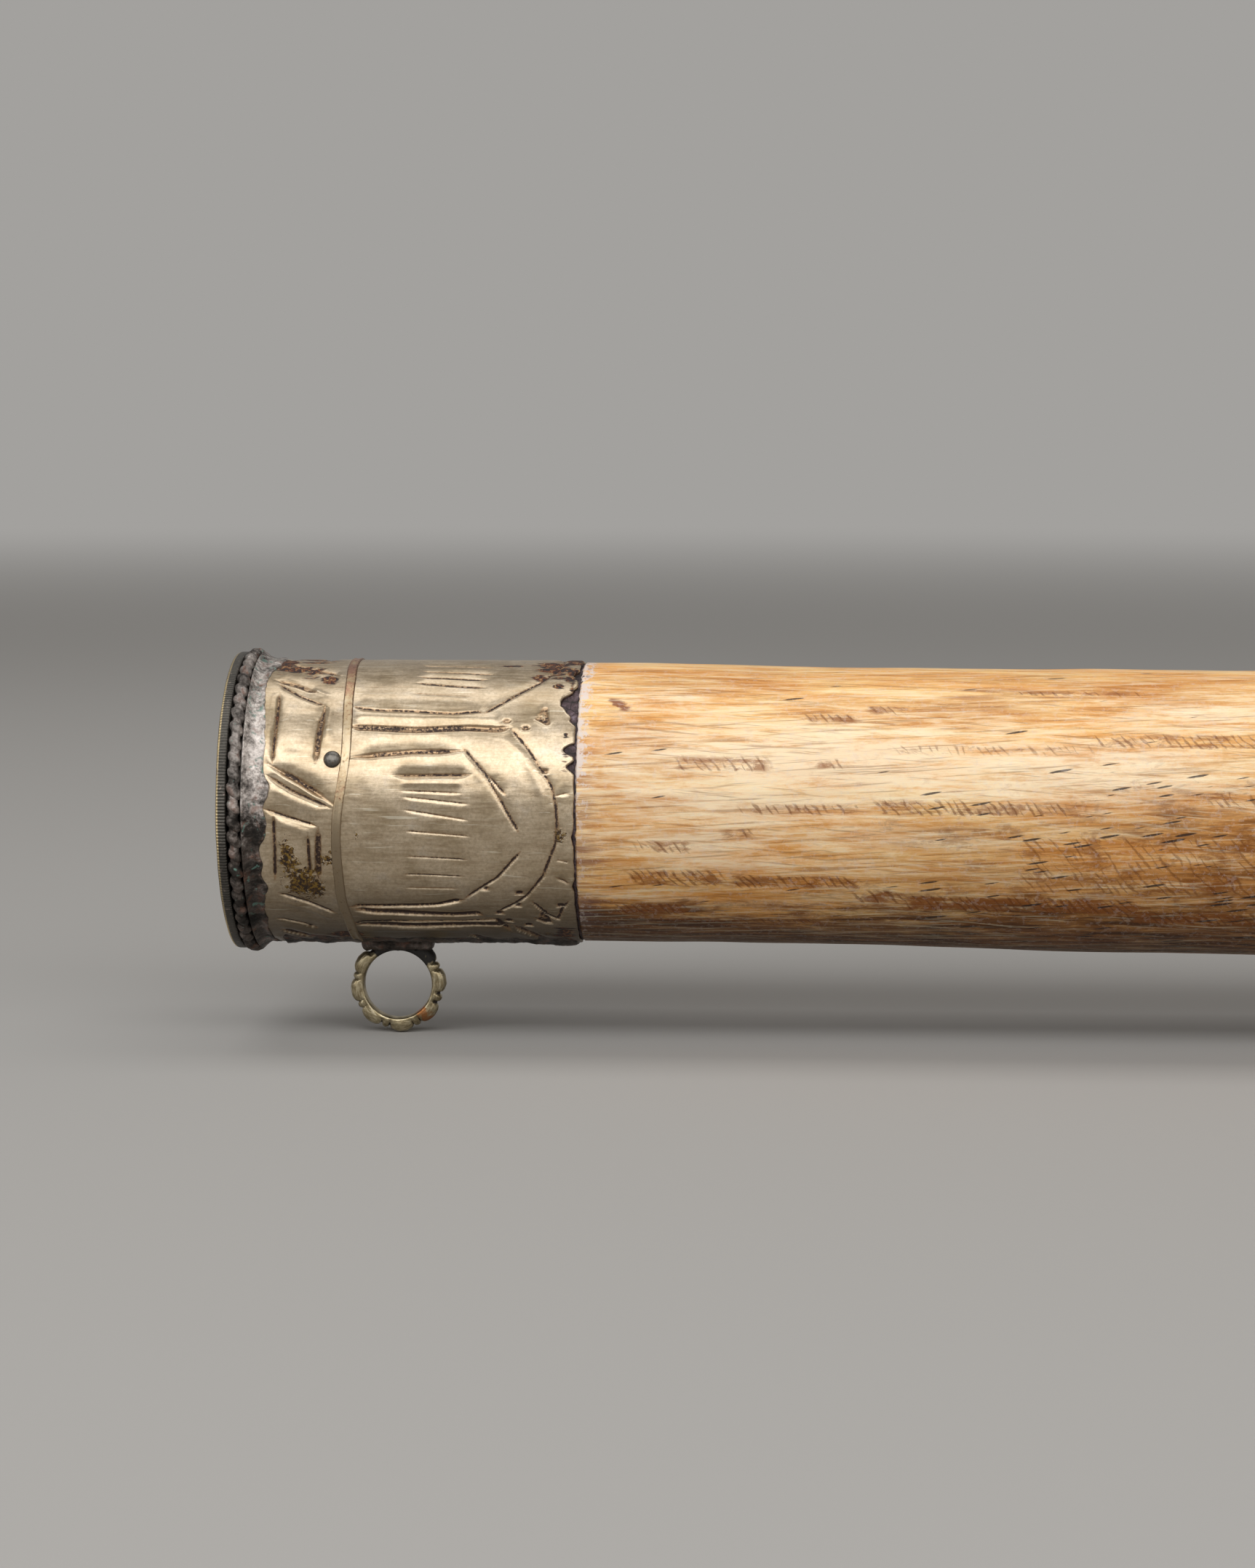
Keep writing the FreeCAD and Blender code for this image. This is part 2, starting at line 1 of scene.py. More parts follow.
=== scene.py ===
import functools
import math
import bmesh
import bpy
import numpy as np
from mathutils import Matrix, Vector


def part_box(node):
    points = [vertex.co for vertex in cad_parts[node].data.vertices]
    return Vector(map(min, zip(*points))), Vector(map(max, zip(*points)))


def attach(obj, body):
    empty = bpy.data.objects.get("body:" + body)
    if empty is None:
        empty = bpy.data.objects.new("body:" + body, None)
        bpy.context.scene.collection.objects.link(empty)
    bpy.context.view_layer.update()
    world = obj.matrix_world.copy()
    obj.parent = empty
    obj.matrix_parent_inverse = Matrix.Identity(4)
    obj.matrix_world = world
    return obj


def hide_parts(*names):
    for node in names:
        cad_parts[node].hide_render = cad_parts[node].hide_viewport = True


# A thighbone trumpet with a chased and silvered mouth mount. Sizes below are in millimetres
# unless a name says otherwise; every mesh is written in metres in the part's own frame.
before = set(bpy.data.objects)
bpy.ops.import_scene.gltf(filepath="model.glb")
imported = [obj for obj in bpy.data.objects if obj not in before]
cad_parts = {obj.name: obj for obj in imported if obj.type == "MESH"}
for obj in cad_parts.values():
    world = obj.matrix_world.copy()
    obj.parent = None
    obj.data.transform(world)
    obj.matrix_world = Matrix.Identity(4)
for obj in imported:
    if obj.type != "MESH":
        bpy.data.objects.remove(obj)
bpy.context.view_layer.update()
MM = 0.001
rng = np.random.default_rng(7)


def cad(node):
    """A node's box in millimetres."""
    low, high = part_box(node)
    return np.array(low) / MM, np.array(high) / MM


# sizes taken from the frame, and the sheet's thickness and the bore, which are its own
plate_high = cad("mouth_plate")[1]
wire_low, wire_high = cad("rim_wire")
collar_high = cad("flared_collar")[1]
band_low = cad("mouth_band")[0]
ridge_low, ridge_high = cad("ridge_band")
sleeve_low, sleeve_high = cad("petal_sleeve")
pitch_low, pitch_high = cad("pitch_lining")
ring_low, ring_high = cad("hanging_ring")
bone_low, bone_high = cad("thighbone")
SHEET_R = sleeve_high[2]
SHEET_WALL = 0.45
BORE_R = 6.5
AROUND = 2 * math.pi * SHEET_R
SHOULDER = pitch_high[0]
FLOOR = min(ring_low[2], bone_low[2])


# meshes
def in_scene(name, data):
    """A new object in the scene, with its place in its own mesh."""
    thing = bpy.data.objects.new(name, data)
    bpy.context.collection.objects.link(thing)
    return thing


def full_turn(count):
    """Evenly spaced angles once round, in radians."""
    return np.linspace(0, 2 * math.pi, count, endpoint=False)


def past(angle, other, whole=2 * math.pi):
    """How far an angle lies past another, the short way round."""
    return (angle - other + whole / 2) % whole - whole / 2


def along_way(places, angle, smooth):
    """Where a wandering edge lies, by places read off it, evened out over some degrees."""
    degrees = np.degrees(past(angle, 0))
    x, y = np.array(places).T
    return sum(np.interp(degrees + d, x, y, period=360) for d in smooth) / len(smooth)


def make_piece(name, corners, faces, sharp=None):
    """A mesh piece from corners in millimetres and a list of faces."""
    mesh = bpy.data.meshes.new(name)
    faces = faces.tolist() if isinstance(faces, np.ndarray) else faces
    mesh.from_pydata((np.asarray(corners) * MM).tolist(), [], faces)
    shell = bmesh.new()
    shell.from_mesh(mesh)
    bmesh.ops.recalc_face_normals(shell, faces=shell.faces)
    shell.to_mesh(mesh)
    shell.free()
    mesh.shade_smooth()
    if sharp:
        mesh.set_sharp_from_angle(angle=math.radians(sharp))
    return in_scene(name, mesh)


def lattice(rows, columns, wrap_rows, wrap_columns=True):
    """Quads of a surface of rows and columns, either of which may close on themselves."""
    r, c = np.meshgrid(np.arange(rows if wrap_rows else rows - 1),
                       np.arange(columns if wrap_columns else columns - 1), indexing="ij")
    r2, c2 = (r + 1) % rows, (c + 1) % columns
    quads = np.stack([r * columns + c, r2 * columns + c, r2 * columns + c2, r * columns + c2], -1)
    return quads.reshape(-1, 4)


def around_bore(x, radius, angle):
    """Points at an angle (radians) above the near side, at a radius about the bore."""
    return np.stack([x, -radius * np.cos(angle), radius * np.sin(angle)], -1)


def turned_shell(name, x, radius, angles, sharp=None):
    """A closed shell round the bore: x and radius are rows by columns, in one closed loop."""
    points = around_bore(x, radius, np.broadcast_to(angles, x.shape))
    rows, columns = x.shape
    corners = points.reshape(-1, 3)
    return make_piece(name, corners, lattice(rows, columns, True), sharp)


def closed_tube(name, loops, tips=None, sharp=None):
    """Loops of points joined to a tube; its ends are closed by fans to the tips, or flat."""
    points = np.array(loops)
    rows, columns = points.shape[:2]
    corners = points.reshape(-1, 3)
    faces = lattice(rows, columns, False).tolist()
    first, last = 0, (rows - 1) * columns
    if tips is None:
        faces += [list(range(columns)), list(range(last, last + columns))[::-1]]
    else:
        corners = np.vstack([corners, tips])
        for tip, start in ((rows * columns, first), (rows * columns + 1, last)):
            faces += [[tip, start + k, start + (k + 1) % columns] for k in range(columns)]
    return make_piece(name, corners, faces, sharp)


def store(piece, name, values):
    """A value for each corner, read by the piece's material."""
    values = np.asarray(values, dtype=np.float32)
    kind = "FLOAT" if values.ndim == 1 else "FLOAT_VECTOR"
    layer = piece.data.attributes.new(name, kind, "POINT")
    layer.data.foreach_set("value" if values.ndim == 1 else "vector", values.ravel())


def ripples(points, longest, shortest, seed, waves=28):
    """Smooth unevenness between about -1 and 1, the same on every run."""
    draw = np.random.default_rng(seed)
    total = np.zeros(points.shape[:-1])
    weight = 0.0
    for _ in range(waves):
        way = draw.normal(size=3)
        way /= np.linalg.norm(way)
        length = math.exp(draw.uniform(math.log(shortest), math.log(longest)))
        size = length ** 0.6
        total += size * np.sin(points @ way * (2 * math.pi / length) + draw.uniform(0, 7))
        weight += size * size / 2
    return total / (2.2 * math.sqrt(weight))


def soft_step(value, low, high):
    t = np.clip((value - low) / (high - low), 0, 1)
    return t * t * (3 - 2 * t)


# the side of the mount that is seen most, in degrees above its middle
NEAR_LOW, NEAR_HIGH = -56, 82


def near_angles(near_count, far_count):
    """Angles round the bore, set closer together on the near side."""
    low, high = math.radians(NEAR_LOW), math.radians(NEAR_HIGH)
    near = np.linspace(low, high, near_count, endpoint=False)
    far = np.linspace(high, low + 2 * math.pi, far_count, endpoint=False)
    return np.concatenate([near, far])


# chased lines
# A chased line is (points, style), and a style is its line's depth and half width, its valley's
# depth and half width, and how square the line's bottom is. Less than no valley is a raised form.
# A point is (place along the bore, degrees above the near side).
LONG = (0.10, 0.12, 0.15, 0.60, 2)
UNDER = (0.14, 0.20, 0.20, 0.64, 3)
GUTTER = (0.14, 0.34, 0.18, 0.80, 4)
BROAD = (0.10, 0.27, 0.33, 0.60, 3)
ARCH = (0.10, 0.12, 0.11, 0.48, 2)
HATCH = (0.04, 0.075, 0.06, 0.42, 2)
TOP_HATCH = (0.08, 0.11, 0.12, 0.36, 2)
HEAVY_HATCH = (0.08, 0.14, 0.26, 0.50, 2)
LENS = (0.10, 0.25, 0.38, 0.64, 3)
LEDGE = (0.12, 0.12, 0.16, 0.42, 2)
TRENCH = (0.15, 0.27, 0.15, 0.55, 4)
FINE = (0.02, 0.09, 0.02, 0.40, 2)
PUNCH = (0.16, 0.24, 0.08, 0.42, 3)
PILLOW = (0.0, 0.2, -0.13, 0.52, 2)
CUSHION = (0.0, 0.2, -0.15, 1.20, 2)
RIB = (0.0, 0.2, -0.10, 0.32, 2)
LOW_RIB = (0.0, 0.2, -0.06, 0.34, 2)
SWELL = (0.0, 0.2, -0.07, 0.80, 2)

petal_lines = [
    # the two long grooves above the petal, and the start of the next petal's arch
    ([(12.9, 46.7), (15.4, 45.2), (19.1, 44.7), (22.9, 43.6), (25.4, 44.6), (26.0, 43.2)], LONG),
    ([(12.9, 36.7), (19.5, 35.6), (24.4, 36.6), (27.3, 36.1), (28.7, 36.7)], GUTTER),
    # the lens-shaped hollow and the pointed inner arch
    ([(13.0, 23.2), (16.0, 24.9), (19.4, 26.2), (24.2, 26.3)], LENS),
    ([(24.1, 27.8), (26.4, 17.2), (27.9, 7.0), (29.8, -6.7)], ARCH),
    ([(26.6, 17.2), (28.7, 7.5)], ARCH),
    ([(29.9, -14.0), (27.5, -25.8), (25.8, -31.0), (24.1, -36.5)], ARCH),
    # the hatch across the petal
    ([(17.4, 16.2), (25.0, 16.6)], HEAVY_HATCH),
    ([(17.9, 12.9), (24.4, 13.0)], RIB),
    ([(18.2, 10.1), (24.2, 9.2)], HATCH),
    ([(18.3, 7.7), (25.0, 4.9)], HATCH),
    ([(18.3, 2.7), (25.0, -1.5)], HATCH),
    ([(18.4, -5.8), (25.2, -7.9)], HATCH),
    ([(18.3, -16.3), (24.9, -17.7)], HATCH),
    ([(18.1, -24.2), (24.4, -25.3)], HATCH),
    ([(18.0, -30.6), (23.8, -31.1)], FINE),
    # the rounded outer arch
    ([(28.7, 36.7), (30.6, 27.0), (32.1, 17.4), (33.0, 11.7), (33.4, 4.0), (33.5, -4.3),
      (33.3, -11.0), (32.0, -25.0), (30.3, -34.7), (29.2, -38.8), (27.2, -44.3)], ARCH),
    ([(33.4, 8.4), (34.3, 9.4)], HATCH),
    ([(33.6, -17.6), (34.4, -18.4)], HATCH),
    # the metal between the grooves, swelled up by them
    ([(13.2, 51.8), (19.0, 50.9), (25.0, 50.2)], SWELL),
    ([(13.2, 42.0), (18.0, 41.1), (24.0, 40.8), (27.8, 40.4)], PILLOW),
    ([(28.0, 33.0), (29.8, 25.5), (31.1, 17.0), (32.1, 8.0), (32.4, -2.0)], LOW_RIB),
    ([(25.0, 20.5), (26.2, 12.5)], LOW_RIB),
    # the triangle, dots and quarry between two petals
    ([(31.2, 41.8), (32.0, 45.6), (32.3, 39.0), (31.2, 41.8), (32.1, 42.0)], PUNCH),
    ([(30.7, -37.0), (32.2, -45.6), (33.2, -48.6), (33.7, -42.0), (34.5, -36.8)], ARCH),
    ([(33.2, -25.0), (34.7, -28.4)], ARCH),
]
petal_dots = [
    (28.3, 39.8), (30.2, 36.6), (32.2, 18.1), (26.2, -31.0), (29.3, -39.7), (29.6, -33.1),
    (27.5, -44.7), (32.1, -50.4), (33.6, -39.9),
]
top_petal_lines = [
    ([(26.0, 43.2), (28.4, 51.0), (31.2, 61.3), (32.8, 72.0), (33.3, 84.0), (33.0, 96.0),
      (31.6, 110.0), (28.7, 125.0)], ARCH),
    ([(19.1, 77.5), (26.4, 75.6)], TOP_HATCH),
    ([(19.3, 70.8), (26.6, 68.6)], TOP_HATCH),
    ([(19.1, 65.5), (26.0, 63.9)], TOP_HATCH),
    ([(19.0, 60.9), (25.8, 58.1)], TOP_HATCH),
    ([(18.5, 54.2), (25.1, 52.2)], FINE),
    ([(18.6, 84.0), (25.6, 83.0)], HATCH),
    ([(18.3, 91.0), (25.0, 90.5)], HATCH),
    ([(18.4, 98.5), (24.6, 99.0)], HATCH),
]
under_lines = [
    ([(12.6, -42.0), (18.4, -40.9), (21.4, -40.1), (24.1, -36.9)], UNDER),
    ([(12.8, -52.9), (18.1, -51.6), (23.4, -51.4), (27.1, -50.2), (28.4, -59.7)], UNDER),
    ([(13.2, -46.8), (18.0, -46.2), (24.0, -45.6), (27.4, -46.4)], PILLOW),
    ([(13.2, -58.0), (18.0, -57.4), (24.0, -57.2)], PILLOW),
]
fret_lines = [
    # a box with a slanting lid, then a slanting double rib, then the next box
    ([(5.2, 60.0), (7.6, 52.5), (10.2, 47.0)], LONG),
    ([(10.2, 48.0), (10.1, 40.0), (9.95, 33.0)], LEDGE),
    ([(10.1, 43.0), (9.95, 36.0), (9.7, 21.0)], TRENCH),
    ([(5.5, 54.0), (5.6, 40.0), (5.45, 20.4)], LEDGE),
    ([(5.0, 20.5), (8.4, 13.0), (11.6, 4.5)], BROAD),
    ([(4.9, 16.0), (7.6, 9.4), (11.2, 3.2)], LEDGE),
    ([(4.7, 2.6), (7.6, -1.4), (10.05, -4.4)], LONG),
    ([(10.05, -4.8), (9.85, -27.2)], TRENCH),
    ([(9.0, -7.0), (9.05, -26.0)], LEDGE),
    ([(5.65, 0.4), (5.7, -14.0), (5.5, -28.0)], LEDGE),
    ([(5.7, -34.0), (8.6, -39.5), (11.2, -46.0)], LEDGE),
    ([(4.9, -49.7), (7.0, -53.0), (9.2, -58.0)], LONG),
    ([(5.3, 64.0), (8.0, 57.0), (10.9, 51.5)], RIB),
    ([(5.0, 55.0), (5.05, 40.0), (4.95, 21.0)], RIB),
    ([(10.9, 49.0), (10.8, 40.0), (10.7, 29.0)], RIB),
    ([(7.8, 46.0), (7.6, 37.0), (7.3, 24.0)], CUSHION),
    ([(5.0, 11.5), (8.0, 4.9), (10.8, 0.4)], PILLOW),
    ([(4.9, -1.2), (7.6, -5.0), (9.8, -8.0)], RIB),
    ([(9.5, -9.0), (9.45, -26.0)], RIB),
    ([(5.7, -38.0), (8.6, -43.4), (11.0, -50.0)], RIB),
]


# on the copies round the far side: deepest line, least and greatest half width, least valley
COPY_DEPTH, COPY_HALF, COPY_MOST, COPY_SPREAD = 0.1, 0.26, 0.3, 0.5


def shifted(lines, turn, jitter):
    """The lines turned about the bore by some degrees, each a little broader and out of place."""
    moved = []
    for points, (depth, half, sink, spread, square) in lines:
        slip_x, slip_a = rng.uniform(-jitter, jitter, 2)
        half = min(max(half, COPY_HALF), COPY_MOST)
        style = (min(depth, COPY_DEPTH), half, sink, max(spread, COPY_SPREAD), square)
        moved.append(([(x + slip_x, a + turn + slip_a * 4) for x, a in points], style))
    return moved


def chase(x, angle, lines):
    """For each point of a sheet: the depth of the fine lines and of the valleys along them, the
    height of what is pushed up beside them, how much of a line's dirt lies there, and how much
    painted highlight lies along its lower edge."""
    line, valley, lip, mark, painted_highlight = [np.zeros_like(x) for _ in range(5)]
    flat_x = x.ravel()
    flat_s = angle.ravel() * SHEET_R
    for points, style in lines:
        depth, half, sink, spread, square = style
        px = np.array([p[0] for p in points])
        ps = np.radians([p[1] for p in points]) * SHEET_R
        reach = 3.6 * max(half, spread if sink else half)
        offset = past(flat_s, ps[0], AROUND) + ps[0]
        inside = (flat_x > px.min() - reach) & (flat_x < px.max() + reach)
        inside &= (offset > ps.min() - reach) & (offset < ps.max() + reach)
        if not inside.any():
            continue
        gx, gs = flat_x[inside], offset[inside]
        runs = np.hypot(np.diff(px), np.diff(ps))
        length = runs.sum()
        best = np.full(gx.shape, 1e9)
        along = np.zeros(gx.shape)
        lean = np.zeros(gx.shape)
        start = 0.0
        for k, run in enumerate(runs):
            ux, us = (px[k + 1] - px[k]) / run, (ps[k + 1] - ps[k]) / run
            t = np.clip((gx - px[k]) * ux + (gs - ps[k]) * us, 0, run)
            gap = np.hypot(gx - px[k] - ux * t, gs - ps[k] - us * t)
            closer = gap < best
            best[closer] = gap[closer]
            along[closer] = (start + t)[closer]
            lean[closer] = ((gs - ps[k] - us * t) / (gap + 0.05))[closer]
            start += run
        ends = min(2.6 if style in (BROAD, LENS) else 1.0, length * 0.45)
        fade = soft_step(along, 0, ends) * soft_step(length - along, 0, ends)
        if length < 1:
            fade = np.ones_like(along)
        narrow = 0.5 + 0.5 * fade
        profile = (0.3 + 0.7 * fade) * np.exp(-(best / half / narrow) ** square)
        fine = depth * profile
        # the slope above a line is long and soft, and the one below it short and steep
        slope = spread * narrow * (1 + 0.5 * lean)
        wide = sink * (0.1 + 0.9 * fade) * np.exp(-(best / slope) ** 2)
        if sink < 0:
            raised = -sink * fade * np.exp(-(best / spread) ** 2)
            lip.ravel()[inside] = np.maximum(lip.ravel()[inside], raised)
            continue
        pushed = 0.18 * depth * fade * np.clip(-1.4 * lean, 0, 1)
        pushed = pushed * np.exp(-((best - half - 0.2) / 0.16) ** 2)
        # the dirt lies on the upper side of a line, 0.04 mm above its bottom
        upper = np.sqrt(best ** 2 - 0.08 * best * lean + 0.0016)
        dirt = (0.3 + 0.7 * fade) * np.exp(-(upper / half / 1.15 / narrow) ** square)
        dirt = dirt * min(1.1, depth / 0.05) * (1.6 if half < 0.13 else 1.1)
        # painted highlight: a thin pale band just below the lower edge of each line
        below = lean * (best + 0.05) + half * 1.25
        wear_and_highlight = fade * np.exp(-(below / 0.06) ** 2) * (best < 2 * half)
        for layer, values in ((line, fine), (valley, wide), (lip, pushed), (mark, dirt),
                              (painted_highlight, wear_and_highlight)):
            layer.ravel()[inside] = np.maximum(layer.ravel()[inside], values)
    return line, valley, lip, mark, painted_highlight


def chased_sheet(name, left, right, row_count, angles, lines, dots):
    """A sheet-metal band round the bore with chased lines, and the place of each of its corners
    along the bore; left and right may vary with angle."""
    share = np.linspace(0, 1, row_count)[:, None]
    x = left[None, :] * (1 - share) + right[None, :] * share
    angle = np.broadcast_to(angles, x.shape)
    all_lines = lines + [([(dx - 0.12, da), (dx + 0.12, da)], PUNCH) for dx, da in dots]
    line, valley, lip, mark, painted_highlight = chase(x, angle, all_lines)
    surface = around_bore(x, SHEET_R, angle)
    uneven = 0.05 * ripples(surface, 14, 4, 3) + 0.015 * ripples(surface, 3.0, 1.2, 4)
    radius = SHEET_R + 0.02 + uneven - line - valley + lip * (1 - np.clip(line / 0.05, 0, 1))
    radius = np.maximum(radius, SHEET_R - SHEET_WALL + 0.06)
    # the two edges are thin and rounded, and the inner wall is plain
    edges = soft_step(x - left, 0, 0.18) * soft_step(right - x, 0, 0.18)
    radius = radius - 0.07 * (1 - edges)
    inner_r = SHEET_R - SHEET_WALL + 0.02
    loop_x = [x]
    loop_r = [radius]
    inner = [(right, inner_r + 0.14), (right - 0.05, inner_r), (left + 0.05, inner_r),
             (left, inner_r + 0.14)]
    for edge, edge_r in inner:
        loop_x.append(edge[None, :])
        loop_r.append(np.full((1, len(angles)), edge_r))
    full_x = np.concatenate(loop_x)
    piece = turned_shell(name, full_x, np.concatenate(loop_r), angles)
    pad = np.zeros((len(inner), len(angles)))
    store(piece, "line", np.concatenate([mark, pad + 0.5]).ravel())
    store(piece, "valley", np.concatenate([valley / 0.2, pad]).ravel())
    store(piece, "painted_highlight", np.concatenate([painted_highlight, pad]).ravel())
    return piece, full_x


def around_stain(x, angle, places):
    """Soft round patches on the sheet: (place, degrees, half length, half width in mm, depth)."""
    total = np.zeros_like(x)
    for px, pa, long, wide, depth in places:
        ds = past(angle, math.radians(pa)) * SHEET_R
        total = np.maximum(total, depth * np.exp(-((x - px) / long) ** 2 - (ds / wide) ** 2))
    return total


# mouth mount
# corners of the sheets: round the near and the far side, along the sleeve and along the band
SHEET_COLUMNS, SLEEVE_ROWS, BAND_ROWS = (510, 182), 140, 92
sheet_angles = near_angles(*SHEET_COLUMNS)
# the ridge wanders along its way round, by the places read off the near side
ridge_way = [
    (-180.0, 12.30), (-150.0, 12.10), (-120.0, 12.40), (-92.0, 12.60), (-73.7, 12.60),
    (-56.0, 12.40), (-46.0, 12.20), (-39.7, 11.90), (-26.0, 11.85), (-14.5, 11.75), (-5.1, 11.80),
    (3.4, 12.00), (12.0, 12.35), (23.0, 12.70), (36.0, 12.65), (50.6, 12.45), (60.0, 12.40),
    (75.9, 12.15), (105.0, 12.15), (135.0, 12.45), (160.0, 12.25), (180.0, 12.30),
]


ridge_line = along_way(ridge_way, sheet_angles, (-4, 0, 4))


def notch(angle, centre, half_width, depth, seed):
    """A torn bite out of the free edge, deepest at its centre."""
    gap = past(angle, math.radians(centre)) * SHEET_R
    ragged = 0.14 * np.sin(gap * 2.1 + seed) + 0.05 * np.sin(gap * 5.7 + seed * 2)
    return depth * np.clip(1 - (np.abs(gap) / half_width) ** 1.4 + ragged, 0, 1)


edge_points = around_bore(np.zeros_like(sheet_angles), SHEET_R, sheet_angles)
free_edge = sleeve_high[0] + 0.06 + 0.10 * ripples(edge_points, 12, 5, 21)
free_edge = free_edge + 0.05 * ripples(edge_points, 2.0, 0.6, 22)
for centre, half_width, depth, seed in [
    (49.0, 2.75, 1.55, 1.0), (27.2, 0.75, 1.05, 2.3), (20.0, 0.75, 0.75, 4.0), (68.0, 1.4, 0.5, 0.4),
    (-8.0, 1.0, 0.2, 3.1), (-30.0, 0.8, 0.25, 5.2), (140.0, 1.8, 0.9, 2.0), (-160.0, 0.9, 0.4, 1.2),
    (96.0, 0.7, 0.35, 0.9),
]:
    free_edge = free_edge - notch(sheet_angles, centre, half_width, depth, seed)

sleeve_lines = petal_lines + under_lines + top_petal_lines
lens_free = [line for line in petal_lines if line[1] is not LENS]
sleeve_lines += shifted(petal_lines, 180.0, 0.25) + shifted(lens_free, -90.0, 0.25)
sleeve_lines += shifted(petal_lines[:2], 90.0, 0.2)
sleeve_dots = petal_dots + [(x, a + turn) for x, a in petal_dots for turn in (180.0, -90.0)]
petal_sleeve, sleeve_x = chased_sheet(
    "petal_sleeve_chased", ridge_line, free_edge, SLEEVE_ROWS, sheet_angles, sleeve_lines, sleeve_dots
)

collar_spill_way = [
    (-180, 4.6), (-165, 4.9), (-150, 4.4), (-135, 4.8), (-120, 4.5), (-105, 4.7), (-90, 4.5),
    (-68.8, 4.2), (-56.4, 4.0), (-49.5, 4.3), (-42.7, 3.9), (-39.6, 4.5), (-36.8, 4.1),
    (-34.4, 4.65), (-30.6, 4.85), (-28.5, 4.7), (-27.1, 4.25), (-25.4, 4.0), (-22.7, 4.45),
    (-20.1, 4.5), (-15.3, 4.05), (-11.5, 4.35), (-8.4, 4.9), (-2.5, 4.95), (0.3, 4.8), (3.2, 4.45),
    (6.6, 5.05), (9.8, 5.45), (14.1, 4.95), (18.1, 4.5), (27.1, 4.7), (43, 4.4), (54.7, 4.1),
    (65.5, 4.1), (76, 4.9), (88, 5.1), (100, 4.6), (120, 4.6), (135, 4.9), (150, 4.5), (165, 4.9),
    (180, 4.6),
]

band_left = np.full_like(sheet_angles, band_low[0] - 0.9)
fret_all = fret_lines + [
    line for turn in (-119.0, -175.0, 175.0 - 62.0) for line in shifted(fret_lines, turn, 0.2)
]
mouth_band, band_x = chased_sheet(
    "mouth_band_chased", band_left, ridge_line, BAND_ROWS, sheet_angles, fret_all, []
)


def ridge_strip():
    """The raised strip that covers the joint of the two sheets."""
    half = (ridge_high[0] - ridge_low[0]) / 2
    section = [(-1.25, -0.12), (-1.15, 0.03), (-1.0, 0.12), (-0.8, 0.16), (-0.55, 0.13),
               (0.0, 0.11), (0.55, 0.14), (0.8, 0.17), (1.0, 0.13), (1.15, 0.03), (1.25, -0.12)]
    points = around_bore(ridge_line, SHEET_R, sheet_angles)
    wear = 1 + 0.25 * ripples(points, 5, 1.5, 31)
    x = np.array([ridge_line + half * sx for sx, _ in section])
    r = np.array([SHEET_R + sr * (wear if sr > 0 else np.ones_like(wear)) for _, sr in section])
    strip = turned_shell("ridge_band_worn", x, r, sheet_angles)
    edge = np.repeat([soft_step(abs(sx), 0.72, 1.1) for sx, _ in section], len(sheet_angles))
    store(strip, "edge", edge)
    return strip


ridge_band = ridge_strip()


def mouth_plate_piece():
    """The plate, its mouth hole and the short lip, with edges worn round."""
    outer, back = plate_high[2], 1.05
    lip_end, lip_r = plate_high[0], 6.9
    profile = [
        (lip_end, lip_r - 0.05), (lip_end - 0.05, lip_r), (2.0, lip_r), (back + 0.02, lip_r),
        (back, lip_r + 0.05), (back, 9.0), (back, 12.0), (back, outer - 0.12),
        (back - 0.1, outer - 0.02), (back - 0.3, outer), (0.55, outer), (0.3, outer - 0.01),
        (0.12, outer - 0.07), (0.03, outer - 0.2), (0.0, outer - 0.4), (0.0, outer - 0.7),
        (0.03, 13.0), (0.05, 12.0), (0.06, 10.0), (0.06, 8.6), (0.05, BORE_R + 1.0),
        (0.03, BORE_R + 0.55), (0.05, BORE_R + 0.3), (0.14, BORE_R + 0.1), (0.32, BORE_R),
        (0.6, BORE_R), (1.5, BORE_R), (2.6, BORE_R), (lip_end - 0.15, BORE_R),
        (lip_end, BORE_R + 0.08),
    ]
    angles = np.linspace(-math.pi, math.pi, 320, endpoint=False)
    x, r = [np.repeat(column[:, None], len(angles), 1) for column in np.array(profile).T]
    points = around_bore(x, r, np.broadcast_to(angles, x.shape))
    facing = np.array([1.0 if 0.0 <= p[0] < 0.1 and p[1] > BORE_R + 0.5 else 0.0 for p in profile])
    x = x + 0.02 * facing[:, None] * (1 + ripples(points, 8, 2, 41))
    outside = np.array([1.0 if p[1] > outer - 0.15 else 0.0 for p in profile])
    r = r + 0.05 * outside[:, None] * (ripples(points * [0, 1, 1], 16, 4, 42) - 0.8)
    return turned_shell("mouth_plate_filed", x, r, angles)


mouth_plate = mouth_plate_piece()


